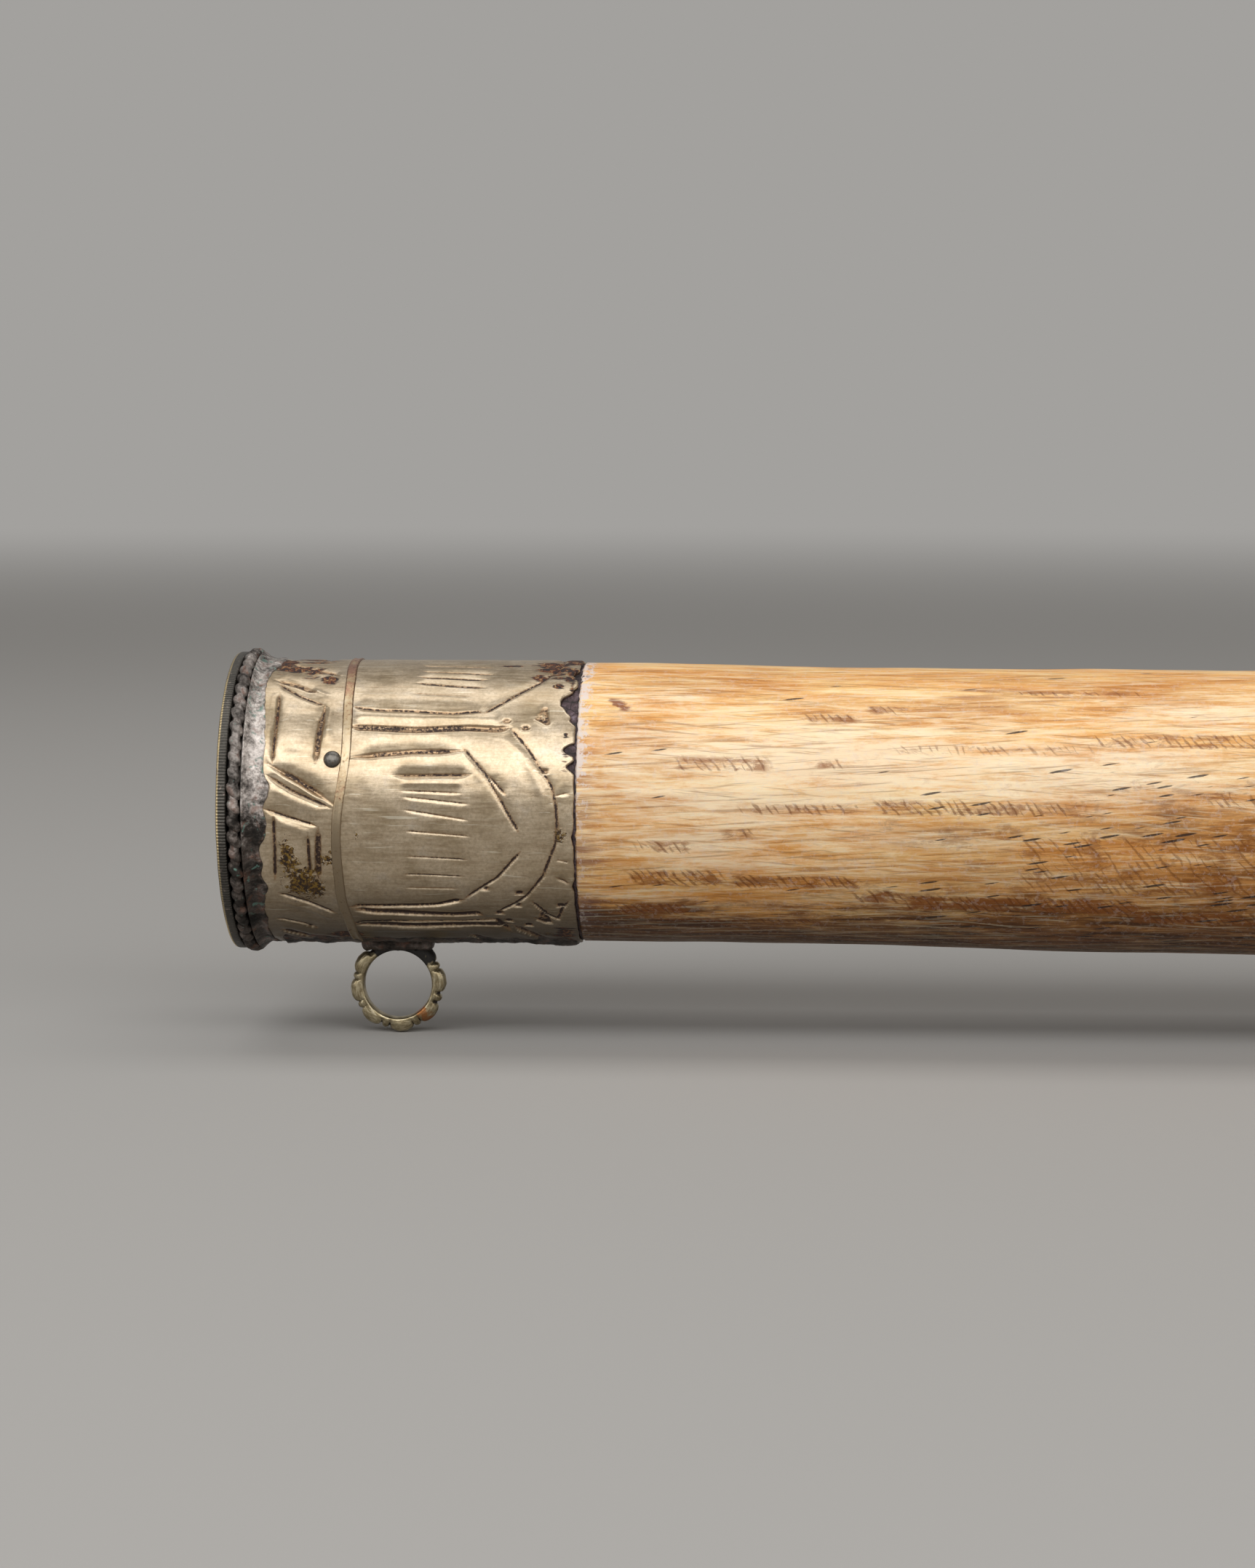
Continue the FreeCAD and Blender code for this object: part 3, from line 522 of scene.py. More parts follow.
def flared_collar_piece():
    """Hollow flare of spilled solder, with lumps and a wandering edge on the sheet."""
    angles = near_angles(420, 200)
    start = wire_low[0] + 0.05
    spill = along_way(collar_spill_way, angles, (-2.4, -1.2, 0.0, 1.2, 2.4))
    spill = spill + 0.08 * ripples(around_bore(0 * angles, 14, angles), 2.0, 0.5, 51)
    wide = collar_high[2]
    flare = [(0.0, 0.0), (0.06, -0.12), (0.16, -0.30), (0.28, -0.46), (0.42, -0.58), (0.56, -0.655),
             (0.66, -0.66), (0.75, -0.63), (0.84, -0.60), (0.91, -0.585), (0.96, -0.60),
             (0.99, -0.66), (1.0, -0.80)]
    back = wire_high[0] + 0.02
    x = [np.full_like(angles, start), np.full_like(angles, start), np.full_like(angles, back - 0.25)]
    r = [np.full_like(angles, 13.9), np.full_like(angles, 14.0), np.full_like(angles, 14.2)]
    x.append(np.full_like(angles, back - 0.1))
    r.append(np.full_like(angles, wide - 0.25))
    for share, drop in flare:
        here = back + (spill - back) * share
        points = around_bore(here, wide + drop, angles)
        rough = 0.07 * ripples(points, 3.5, 0.9, 52) + 0.035 * ripples(points, 0.9, 0.35, 53)
        blob = 0.10 * soft_step(ripples(points, 2.6, 1.0, 54), 0.45, 1.0)
        x.append(here)
        r.append(wide + drop + (rough + blob) * (0.35 + 0.65 * min(1, share * 3)))
    x.append(spill - 0.15)
    r.append(np.full_like(angles, SHEET_R - 0.2))
    x.append(spill - 0.6)
    r.append(np.full_like(angles, 13.9))
    return turned_shell("flared_collar_spilled", np.array(x), np.array(r), angles)


flared_collar = flared_collar_piece()


# radii of the pitch: outside, inside and at its bare end, and where its unevenness is read
PITCH_OUT_R, PITCH_IN_R, PITCH_END_R, UNEVEN_R = 13.74, 13.47, 13.96, 13.9


def pitch_piece():
    """Lumpy pitch under the sheet, swelling into the tears and along the free edge."""
    angles = near_angles(300, 160)
    places = np.concatenate([[pitch_low[0] + 0.05, 20.0, 30.0], np.linspace(31.5, SHOULDER, 26)])
    x = np.repeat(places[:, None], len(angles), 1)
    points = around_bore(x, UNEVEN_R, np.broadcast_to(angles, x.shape))
    near_edge = soft_step(x, 31.5, 33.0)
    edge = np.interp(angles, sheet_angles, free_edge)[None, :]
    bare = soft_step(x, edge - 0.3, edge + 0.2)
    r = PITCH_OUT_R + near_edge * 0.03 * ripples(points, 1.4, 0.5, 61)
    r = r + bare * (0.16 + 0.12 * ripples(points, 1.6, 0.5, 62) + 0.05 * ripples(points, 0.5, 0.3, 63))
    x[-1] += 0.12 + 0.12 * ripples(points[-1], 1.5, 0.5, 64)
    r[-1] = PITCH_END_R
    inner_x = np.repeat(np.array([[SHOULDER], [pitch_low[0] + 0.05]]), len(angles), 1)
    inner_r = np.full_like(inner_x, PITCH_IN_R)
    return turned_shell("pitch_lumpy", np.vstack([x, inner_x]), np.vstack([r, inner_r]), angles)


pitch_lining = pitch_piece()


# node helper
def colour(code):
    """A written sRGB colour as linear values."""
    parts = [int(code[k:k + 2], 16) / 255 for k in (1, 3, 5)]
    linear = [p / 12.92 if p <= 0.04045 else ((p + 0.055) / 1.055) ** 2.4 for p in parts]
    return (*linear, 1.0)


SUMS = {"plus": "ADD", "minus": "SUBTRACT", "times": "MULTIPLY", "part of": "DIVIDE",
        "larger": "MAXIMUM", "sine": "SINE", "cosine": "COSINE", "turn": "ARCTAN2"}
# a word for a node: its kind, its settings, the sockets that its inputs fill in turn, its output
WORDS = {word: ("ShaderNodeMath", {"operation": way}, (0, 1), 0) for word, way in SUMS.items()}
WORDS |= {
    "spread": ("ShaderNodeMapRange", {}, range(5), 0),
    "ramp": ("ShaderNodeValToRGB", {}, (0,), 0),
    "wash": ("ShaderNodeMix", {"data_type": "RGBA"}, (0, 6, 7), 2),
    "noise": ("ShaderNodeTexNoise", {}, ("Vector", "Scale", "Detail", "Roughness", "Distortion"), 0),
    "cells": ("ShaderNodeTexVoronoi", {}, ("Vector", "Scale"), "Distance"),
    "bump": ("ShaderNodeBump", {}, ("Height", "Strength", "Distance", "Normal"), 0),
    "mark": ("ShaderNodeAttribute", {}, (), "Fac"),
    "drawn": ("ShaderNodeMapping", {}, ("Vector", "Scale", "Rotation"), 0),
    "split": ("ShaderNodeSeparateXYZ", {}, (0,), 0),
    "joined": ("ShaderNodeCombineXYZ", {}, "XYZ", 0),
    "vector": ("ShaderNodeVectorMath", {}, (0, 1), 0),
    "scaled": ("ShaderNodeVectorMath", {"operation": "SCALE"}, (0, "Scale"), 0),
    "length": ("ShaderNodeVectorMath", {"operation": "LENGTH"}, (0,), "Value"),
    "circle": ("GeometryNodeCurvePrimitiveCircle", {}, ("Resolution", "Radius"), 0),
    "moved": ("GeometryNodeTransform", {}, ("Geometry", "Translation", "Rotation"), 0),
    "pushed": ("GeometryNodeSetPosition", {}, ("Geometry", "Offset"), 0),
}


def fill(tree, node, values):
    """Sets a node's sockets: to a constant, to a colour's hex code, or by a link."""
    for key, value in values.items():
        if isinstance(value, bpy.types.NodeSocket):
            tree.links.new(value, node.inputs[key])
        else:
            node.inputs[key].default_value = colour(value) if isinstance(value, str) else value


def put(tree, word, *inputs, stops=(), out=None, **settings):
    """Adds a node by its word or kind, with its settings, inputs, links and colour stops, and
    gives one output back. The inputs fill the word's sockets in turn, or those a dict names."""
    kind, fixed, order, given = WORDS.get(word, (word, {}, range(9), 0))
    node = tree.nodes.new(kind)
    for key, value in {**fixed, **settings}.items():
        setattr(node, key, value)
    named = inputs and isinstance(inputs[0], dict)
    fill(tree, node, inputs[0] if named else dict(zip(order, inputs)))
    for number, (place, code) in enumerate(stops):
        elements = node.color_ramp.elements
        element = elements[number] if number < 2 else elements.new(place)
        element.position, element.color = place, colour(code)
    return node.outputs[given if out is None else out] if node.outputs else node


# rim wire
def bead_tree():
    """A core wire round the bore, and beads set along it that differ a little in size."""
    tree = bpy.data.node_groups.new("beads_on_rim", "GeometryNodeTree")
    for label, kind in [
        ("bead count", "Int"), ("way radius", "Float"), ("place", "Float"), ("bead radius", "Float"),
        ("bead length", "Float"), ("core radius", "Float"), ("dents", "Float"), ("lean", "Float"),
        ("seed", "Int"), ("finish", "Material"),
    ]:
        tree.interface.new_socket(label, in_out="INPUT", socket_type="NodeSocket" + kind)
    tree.interface.new_socket("geometry", in_out="OUTPUT", socket_type="NodeSocketGeometry")
    add = functools.partial(put, tree)
    given = tree.nodes.new("NodeGroupInput").outputs
    shift = add("joined", given["place"])
    upright = (0.0, math.pi / 2, 0.0)
    way = add("moved", add("circle", given["bead count"], given["way radius"]), shift, upright)
    turn = add("FunctionNodeAlignRotationToVector",
               {"Vector": add("GeometryNodeInputTangent")}, axis="X")
    turned = add("GeometryNodeCaptureAttribute", way)
    capture = turned.node
    capture.capture_items.new("ROTATION", "turn")
    tree.links.new(turn, capture.inputs[1])
    spots = add("GeometryNodeCurveToPoints", {"Curve": turned}, mode="EVALUATED")
    bead = add("GeometryNodeMeshUVSphere",
               {"Segments": 20, "Rings": 14, "Radius": given["bead radius"]})
    squeeze = add("joined", add("part of", given["bead length"], given["bead radius"]), 1.0, 1.0)
    bead = add("GeometryNodeTransform", {"Geometry": bead, "Scale": squeeze})
    size = add("FunctionNodeRandomValue", {2: 0.86, 3: 1.0, "Seed": given["seed"]},
               out=1, data_type="FLOAT")
    beads = add("GeometryNodeInstanceOnPoints", {
        "Points": spots, "Instance": bead, "Rotation": capture.outputs[1], "Scale": size})
    beads = add("GeometryNodeRealizeInstances", beads)
    smooth_way = add("moved", add("circle", 240, given["way radius"]), shift, upright)
    section = add("circle", 18, given["core radius"])
    core = add("GeometryNodeCurveToMesh", {"Curve": smooth_way, "Profile Curve": section})
    both = add("GeometryNodeJoinGeometry", beads)
    tree.links.new(core, both.node.inputs["Geometry"])
    uneven = add("noise", {"Scale": 900.0, "Detail": 2.0}, out="Color", noise_dimensions="3D")
    centred = add("vector", uneven, (0.5, 0.5, 0.5), operation="SUBTRACT")
    both = add("pushed", both, add("scaled", centred, given["dents"]))
    # each bead is carried round the wire by its distance from the wire's middle, so it leans
    spot = add("GeometryNodeInputPosition")
    carried = add("times", add("minus", add("split", spot), given["place"]), given["lean"])
    round_way = add("vector", (1.0, 0.0, 0.0), spot, operation="CROSS_PRODUCT")
    round_way = add("vector", round_way, operation="NORMALIZE")
    both = add("pushed", both, add("scaled", round_way, carried))
    both = add("GeometryNodeSetShadeSmooth", {"Geometry": both, "Shade Smooth": True})
    both = add("GeometryNodeSetMaterial", {"Geometry": both, "Material": given["finish"]})
    add("NodeGroupOutput", {"geometry": both})
    return tree


def grown(name, tree, values):
    """The plain mesh that a node tree makes from its named inputs."""
    holder = in_scene(name, bpy.data.meshes.new(name + "_start"))
    grower = holder.modifiers.new("grow", "NODES")
    grower.node_group = tree
    for item in tree.interface.items_tree:
        if item.item_type == "SOCKET" and item.in_out == "INPUT" and item.name in values:
            grower[item.identifier] = values[item.name]
    holder.data.update()
    evaluated = holder.evaluated_get(bpy.context.evaluated_depsgraph_get())
    mesh = bpy.data.meshes.new_from_object(evaluated)
    holder.modifiers.clear()
    holder.data = mesh
    mesh.name = name
    return holder


# solder along the underside: the middle of the lap in degrees, and half its width
SEAM_DEGREES, SEAM_HALF = -80.0, 3.5


def seam_piece():
    """The soldered lap under the mount: a low strip with lumps, closed underneath."""
    middle = math.radians(SEAM_DEGREES)
    half = SEAM_HALF / SHEET_R
    length = np.linspace(sleeve_low[0] - 7.6, sleeve_high[0] - 0.1, 236)
    across = np.linspace(-1, 1, 34)
    x, share = np.meshgrid(length, across, indexing="ij")
    wander = 0.12 * ripples(around_bore(x, SHEET_R, 0 * x), 5, 1.2, 71)
    angle = middle + half * share * (0.96 + wander)
    points = around_bore(x, SHEET_R, angle)
    crown = np.clip(1 - np.abs(share) ** 3, 0, 1)
    height = 0.10 + 0.07 * ripples(points, 3.0, 0.8, 72) + 0.03 * ripples(points, 0.8, 0.3, 73)
    for place, spread, rise in [(5.4, 0.9, 0.22), (9.2, 0.7, 0.20), (33.4, 1.4, 0.24), (30.6, 0.7, 0.1),
                                (12.4, 0.6, 0.1), (20.8, 0.8, 0.08)]:
        height = height + rise * np.exp(-((x - place) / spread) ** 2)
    ends = soft_step(x - length[0], 0, 0.4) * soft_step(length[-1] - x, 0, 0.3)
    top = SHEET_R - 0.12 + np.minimum((height + 0.12) * crown * ends, 0.5)
    upper = around_bore(x, top, angle)
    painted_underside = around_bore(x, np.full_like(x, SHEET_R - 0.3), angle)
    rows, columns = x.shape
    corners = np.concatenate([upper.reshape(-1, 3), painted_underside.reshape(-1, 3)])
    quads = lattice(rows, columns, False, False)
    under = quads[:, ::-1] + rows * columns
    border = list(range(columns)) + [(k + 1) * columns - 1 for k in range(1, rows)]
    border += [(rows - 1) * columns + k for k in range(columns - 2, -1, -1)]
    border += [k * columns for k in range(rows - 2, 0, -1)]
    border = np.array(border)
    after = np.roll(border, -1)
    wall = np.stack([border, border + rows * columns, after + rows * columns, after], -1)
    return make_piece("seam_solder_lumps", corners, np.concatenate([quads, under, wall]))


seam_solder = seam_piece()

# hanging ring and its saddle
RING_X, RING_Z = (ring_low[0] + ring_high[0]) / 2, -18.78
EYE_R = 3.43
RING_STEPS, RING_SECTION = 560, 44
LOBES_REACH = RING_Z - ring_low[2]
big_lobes = [148.5, 189.0, 230.0, 274.6, 317.5, 5.3, 47.0, 90.0]
small_beads = [(big_lobes[k] + (big_lobes[(k + 1) % 8] - big_lobes[k]) % 360 / 2) % 360 for k in range(8)]


def ring_piece():
    """A ring of half-round section, cut into rounded lobes with a small bead between each two."""
    turn = full_turn(RING_STEPS)
    degrees = np.degrees(turn)
    reach = np.full_like(turn, EYE_R + 0.95)
    wide = np.full_like(turn, 0.66)
    for centre in big_lobes:
        gap = past(degrees, centre, 360)
        bump = np.sqrt(np.clip(1 - (gap / 15.6) ** 2, 0, 1)) ** 0.8
        reach = np.maximum(reach, EYE_R + 0.9 + (LOBES_REACH - EYE_R - 0.9) * bump)
        wide = np.maximum(wide, 0.6 + 0.36 * bump)
    for centre in small_beads:
        gap = past(degrees, centre, 360)
        bump = np.sqrt(np.clip(1 - (gap / 5.2) ** 2, 0, 1))
        reach = np.maximum(reach, EYE_R + 0.84 + 0.42 * bump)
        wide = np.maximum(wide, 0.58 + 0.26 * bump)
    recess = 1 - soft_step(reach, EYE_R + 0.90, EYE_R + 1.22)
    around = full_turn(RING_SECTION)
    cosine, sine = np.cos(around)[:, None], np.sin(around)[:, None]
    middle = EYE_R + 0.42
    out = np.where(cosine > 0, middle + (reach - middle) * np.abs(cosine) ** 0.9,
                   middle - (middle - EYE_R) * np.abs(cosine) ** 0.55)
    side = np.sign(sine) * np.abs(sine) ** 0.8
    # lobes and beads are cut in the outer half only: the inner half keeps one width
    blend = soft_step(cosine, -0.2, 0.55)
    y = (0.86 * (1 - blend) + wide[None, :] * blend) * side
    points = np.stack([RING_X + out * np.cos(turn), y, RING_Z + out * np.sin(turn)], -1)
    out = out + 0.03 * ripples(points, 2.0, 0.5, 81) * (out > EYE_R + 0.2)
    points = np.stack([RING_X + out * np.cos(turn), y, RING_Z + out * np.sin(turn)], -1)
    faces = lattice(RING_SECTION, RING_STEPS, True)
    piece = make_piece("hanging_ring_lobed", points.reshape(-1, 3), faces)
    cut = recess[None, :] * soft_step(out, EYE_R + 0.35, EYE_R + 0.75)
    store(piece, "recess", cut.ravel())
    spill = np.minimum(soft_step(degrees, 24, 44), 1 - soft_step(degrees, 118, 136))
    ragged = spill[None, :] + 0.35 * ripples(points, 1.2, 0.3, 82) * (spill[None, :] > 0.02)
    store(piece, "soldered", np.clip(ragged, 0, 1).ravel())
    rust = np.exp(-(past(degrees, 313, 360) / 9) ** 2)[None, :]
    store(piece, "rusty", np.broadcast_to(rust, out.shape).ravel())
    return piece


hanging_ring = ring_piece()
saddle_low, saddle_high = cad("ring_saddle")


def saddle_piece():
    """Blackened solder: a low block from the sheet to the ring, hollowed at both ends."""
    places = np.linspace(saddle_low[0], saddle_high[0], 90)
    turn = full_turn(64)
    across = np.sign(np.cos(turn)) * np.abs(np.cos(turn)) ** 0.6
    upright = np.sign(np.sin(turn)) * np.abs(np.sin(turn)) ** 0.6
    half_y = saddle_high[1] - 0.05
    roof = -13.75
    loops = []
    for place in places:
        side = min(place - saddle_low[0], saddle_high[0] - place)
        full = min(1.0, side / 0.45) ** 0.5
        foot = saddle_low[2] + 0.06 + 0.42 * (1 - full)
        middle, half = (foot + roof) / 2, (roof - foot) / 2
        y = half_y * across * (0.62 + 0.38 * full) * (1 - 0.16 * (upright < 0) * upright ** 2)
        loops.append(np.stack([np.full_like(y, place), y, middle + half * upright], -1))
    points = np.array(loops)
    rough = 0.09 * ripples(points, 1.8, 0.6, 91) + 0.04 * ripples(points, 0.6, 0.25, 92)
    points[..., 1] *= 1 + 0.5 * rough
    points[..., 2] += rough * soft_step(-points[..., 2], 13.9, 14.8)
    points[..., 2] = np.maximum(points[..., 2], saddle_low[2])
    ends = [points[0].mean(0), points[-1].mean(0)]
    return closed_tube("ring_saddle_lumpy", points, ends)


ring_saddle = saddle_piece()


# pins, turned this far round from square on
PIN_DEGREES = 22.4


def pin_piece(name, node, side):
    """A short shank with a domed head, a little off true."""
    low, high = cad(node)
    centre = (low + high) / 2 + [0.25, 0, 0]
    tilt = math.radians(PIN_DEGREES)
    way = np.array([0, -math.cos(tilt), math.sin(tilt)]) * side
    first = np.array([1.0, 0, 0])
    second = np.cross(way, first)
    head_r = (high[0] - low[0]) / 2
    profile = [(11.9, 0.42), (13.0, 0.45), (14.2, 0.46), (14.22, head_r * 0.93),
               (14.28, head_r * 0.99), (14.36, head_r), (14.45, head_r * 0.97),
               (14.56, head_r * 0.89), (14.66, head_r * 0.77), (14.74, head_r * 0.62),
               (14.80, head_r * 0.45), (14.84, head_r * 0.27), (14.855, head_r * 0.1)]
    turn = full_turn(48)[:, None]
    base = np.array([centre[0], 0, 0])
    rim = first * np.cos(turn) + second * np.sin(turn)
    points = np.array([base + way * out + radius * rim for out, radius in profile])
    points += 0.02 * ripples(points, 1.2, 0.4, 101)[..., None] * way
    return closed_tube(name, points, [base + way * 11.9, base + way * 14.86])


pin_near = pin_piece("pin_near_domed", "pin_near", 1)
pin_far = pin_piece("pin_far_domed", "pin_far", -1)

# the bone
# The same stations and two-lobed knee outline that the frame's bone is built from.
station_share = np.array([0.0, 0.078, 0.16, 0.242, 0.41, 0.588, 0.712, 0.794, 0.844, 0.883, 0.922, 0.952,
                 0.974, 0.99, 1.0])
shaft_shares = np.array([
    [0.995, 0.985, 1.0, 1.015, 1.05, 1.1, 1.2, 1.3] + [1.4] * 7,
    [1.0, 0.975, 0.972, 0.965, 0.97, 1.0, 1.04, 1.1, 1.15] + [1.2] * 6,
    [1.0, 1.005, 1.04, 1.055, 1.09, 1.12, 1.14, 1.2, 1.25] + [1.3] * 6,
])
flare_shares = np.array([
    [0, 0, 0, 0, 0, 0.06, 0.25, 0.52, 0.78, 0.94, 1.0, 0.99, 0.93, 0.82, 0.66],
    [0, 0, 0, 0, 0, 0.0, 0.02, 0.09, 0.34, 0.72, 1.0, 0.99, 0.86, 0.66, 0.42],
    [0, 0, 0, 0, 0, 0.02, 0.05, 0.2, 0.6, 0.93, 1.0, 0.97, 0.84, 0.62, 0.36],
])
lobe_share = np.array([0, 0, 0, 0, 0, 0, 0, 0.08, 0.42, 0.8, 1.0, 1.0, 1.0, 1.0, 1.0])
knee_half = np.array([
    (0.0, -0.8), (0.2, -0.88), (0.4, -0.99), (0.6, -0.95), (0.8, -0.76), (0.95, -0.38),
    (1.0, 0.04), (0.97, 0.38), (0.88, 0.72), (0.71, 0.94), (0.5, 0.98), (0.34, 0.76),
    (0.27, 0.38), (0.2, 0.04), (0.0, -0.08),
])
BONE_R = 14.05
BONE_END = bone_high[0]
targets = np.array([38.0, 36.0, -FLOOR])
radii = BONE_R * (1 + (shaft_shares - 1) * (1 - flare_shares))
radii = radii + (targets - BONE_R)[:, None] * flare_shares


def closed_curve(points, count):
    """A smooth closed curve through the points, at evenly spaced parameters (axis 0)."""
    n = len(points)
    shape = (n,) + (1,) * (points.ndim - 1)
    wave = np.fft.fftfreq(n) * n
    # tangents of the closed cubic spline, solved by its transform
    step = (np.roll(points, -1, 0) - np.roll(points, 1, 0)) * 3
    weight = 4 + 2 * np.cos(2 * math.pi * wave / n)
    slope = np.fft.ifft(np.fft.fft(step, axis=0) / weight.reshape(shape), axis=0).real
    t = np.arange(count) * n / count
    k = np.floor(t).astype(int)
    f = (t - k).reshape((count,) + (1,) * (points.ndim - 1))
    a, b, sa, sb = points[k], points[(k + 1) % n], slope[k], slope[(k + 1) % n]
    return (a * (1 + 2 * f) * (1 - f) ** 2 + sa * f * (1 - f) ** 2
            + b * f * f * (3 - 2 * f) + sb * f * f * (f - 1))


def along_stations(values, places):
    """Values at the stations, carried smoothly to other places (last axis of values)."""
    s = station_share
    h = np.diff(s)
    rise = np.diff(values, axis=-1) / h
    inner = (rise[..., :-1] * h[1:] + rise[..., 1:] * h[:-1]) / (h[1:] + h[:-1])
    first = 0 * rise[..., :1]
    last = 1.5 * rise[..., -1:] - 0.5 * inner[..., -1:]
    slope = np.concatenate([first, inner, last], -1)
    k = np.clip(np.searchsorted(s, places, side="right") - 1, 0, len(h) - 1)
    f = (places - s[k]) / h[k]
    return (values[..., k] * (1 + 2 * f) * (1 - f) ** 2 + slope[..., k] * h[k] * f * (1 - f) ** 2
            + values[..., k + 1] * f * f * (3 - 2 * f) + slope[..., k + 1] * h[k] * f * f * (f - 1))


def station_loops():
    """The outline's corner points at each station: points, (y, z), stations."""
    steps = len(knee_half) - 1
    angle = math.pi * (np.arange(steps + 1) / steps - 0.5)
    oval = np.stack([np.cos(angle), np.sin(angle)], -1)
    mixed = oval[:, :, None] * (1 - lobe_share) + knee_half[:, :, None] * lobe_share
    across = mixed[:, 0] * radii[0]
    up = mixed[:, 1] * np.where(mixed[:, 1] > 0, radii[1], radii[2])
    half = np.stack([across, up], 1)
    other = half[-2:0:-1] * np.array([-1, 1])[None, :, None]
    return np.concatenate([half, other])


BONE_COLUMNS = 288


def outline_at(place, outline):
    """The corners of an outline (y, z) at a place along the bone."""
    return np.concatenate([np.full((BONE_COLUMNS, 1), place), outline], 1)


def bone_form():
    """The shaft and knee end as rows of closed outlines, with its seat cut down for the sheet."""
    span = BONE_END - SHOULDER
    places = np.concatenate([
        np.arange(SHOULDER + 0.25, 112.0, 0.62), np.arange(112.0, 240.0, 1.5),
        np.arange(240.0, BONE_END - 1.2, 0.9), [BONE_END - 0.8, BONE_END - 0.45],
    ])
    loops = closed_curve(station_loops(), BONE_COLUMNS)
    outline = along_stations(loops, (places - SHOULDER) / span)
    end = along_stations(loops, np.array([1.0]))[..., 0]
    rows = [outline_at(p, outline[..., i]) for i, p in enumerate(places)]
    # the last rows turn in over the end face, square to the outline
    ahead = np.roll(end, -1, 0) - np.roll(end, 1, 0)
    normal = np.stack([ahead[:, 1], -ahead[:, 0]], -1)
    normal /= np.linalg.norm(normal, axis=-1, keepdims=True)
    if (normal * end).sum() < 0:
        normal = -normal
    for inset, back in [(0.25, 0.22), (0.75, 0.08), (1.5, 0.02), (2.6, 0.0)]:
        rows.append(outline_at(BONE_END - back, end - normal * inset))
    first = outline[..., 0]
    seat = first / np.linalg.norm(first, axis=-1, keepdims=True)
    start = [(1.05, 7.4), (1.05, 13.3), (1.25, 13.42), (12.0, 13.42), (24.0, 13.42),
             (SHOULDER, 13.42)]
    seat_rows = [outline_at(p, seat * r) for p, r in start]
    seat_rows.append(outline_at(SHOULDER + 0.02, first * 0.985))
    return np.array(seat_rows + rows), len(seat_rows)


bone_rows, seat_count = bone_form()


def bone_relief(points):
    """Small unevenness of the surface: grain along the shaft, scraped flats, knee texture."""
    x = points[..., 0]
    angle = np.arctan2(points[..., 2], -points[..., 1])
    ring = np.stack([x * 0.12, np.cos(angle) * 14, np.sin(angle) * 14], -1)
    relief = 0.05 * ripples(ring, 9, 1.8, 111) + 0.02 * ripples(ring, 1.8, 0.7, 112)
    relief = relief + 0.05 * ripples(points, 22, 7, 113)
    knee = soft_step(x, 215, 275)
    relief = relief + knee * 0.35 * ripples(points, 24, 7, 114)
    return relief


def bone_piece():
    points = bone_rows.copy()
    inner = points[seat_count:]
    relief = bone_relief(inner)
    ahead = np.roll(inner, -1, 1) - np.roll(inner, 1, 1)
    normal = np.stack([0 * ahead[..., 0], ahead[..., 2], -ahead[..., 1]], -1)
    normal /= np.linalg.norm(normal, axis=-1, keepdims=True)
    if (normal * inner * [0, 1, 1]).sum() < 0:
        normal = -normal
    ends = soft_step(inner[..., 0], SHOULDER + 0.2, SHOULDER + 3) * 0.7 + 0.3
    keep = 1 - soft_step(inner[..., 0], BONE_END - 1.5, BONE_END - 0.5)
    points[seat_count:] = inner + normal * (relief * ends * keep)[..., None]
    low_side = points[seat_count:, :, 2]
    np.maximum(low_side, bone_low[2], out=low_side)
    return closed_tube("thighbone_form", points)


def round_loop(x, y, z, radius, count=72, squash=1.0):
    turn = full_turn(count)
    return np.stack([np.full(count, x), y + radius * np.cos(turn),
                     z + radius * squash * np.sin(turn)], -1)


CHAMBER_X, CHAMBER_Z = BONE_END - 59.0, 1.0
CHAMBER_HALF = (20.0, 22.0, 10.0)
BELL_Y, BELL_Z, BELL_R = 18.5, 4.0, 6.5


def cut_hollows(bone):
    """The marrow channel, the chamber in the knee end and the two bell holes."""
    channel = [round_loop(x, 0, 0, 7.0) for x in (0.0, 2.0, 40, 80, 120, 160, 200, 240, CHAMBER_X)]
    lobe = [round_loop(CHAMBER_X + CHAMBER_HALF[0] * -math.cos(t), 0, CHAMBER_Z,
                       CHAMBER_HALF[1] * math.sin(t), 96, CHAMBER_HALF[2] / CHAMBER_HALF[1])
            for t in np.linspace(0.05, math.pi - 0.05, 40)]
    tools = [closed_tube("channel_tool", channel), closed_tube("chamber_tool", lobe)]
    for side in (-1, 1):
        lip = [(CHAMBER_X + 10.0, BELL_R), (280, BELL_R), (300, BELL_R), (BONE_END - 1.2, BELL_R),
               (BONE_END - 0.5, BELL_R + 0.2), (BONE_END + 0.3, BELL_R + 0.8),
               (BONE_END + 1.0, BELL_R + 0.8)]
        tools.append(closed_tube(f"bell_tool_{side + 1}",
                                 [round_loop(x, BELL_Y * side, BELL_Z, r) for x, r in lip]))
    for tool in tools:
        cutter = bone.modifiers.new("hollow", "BOOLEAN")
        cutter.operation, cutter.solver, cutter.object = "DIFFERENCE", "MANIFOLD", tool
    evaluated = bone.evaluated_get(bpy.context.evaluated_depsgraph_get())
    mesh = bpy.data.meshes.new_from_object(evaluated)
    bone.modifiers.clear()
    bone.data = mesh
    mesh.name = "thighbone_form"
    for tool in tools:
        bpy.data.objects.remove(tool)
    mesh.shade_smooth()
    mesh.set_sharp_from_angle(angle=math.radians(38))
    return bone


thighbone = cut_hollows(bone_piece())


# wear and stains
def wear(piece, name, x, angles, places):
    """Soft patches round the bore, kept as a value at each corner of the piece."""
    store(piece, name, around_stain(x, np.broadcast_to(angles, x.shape), places).ravel())


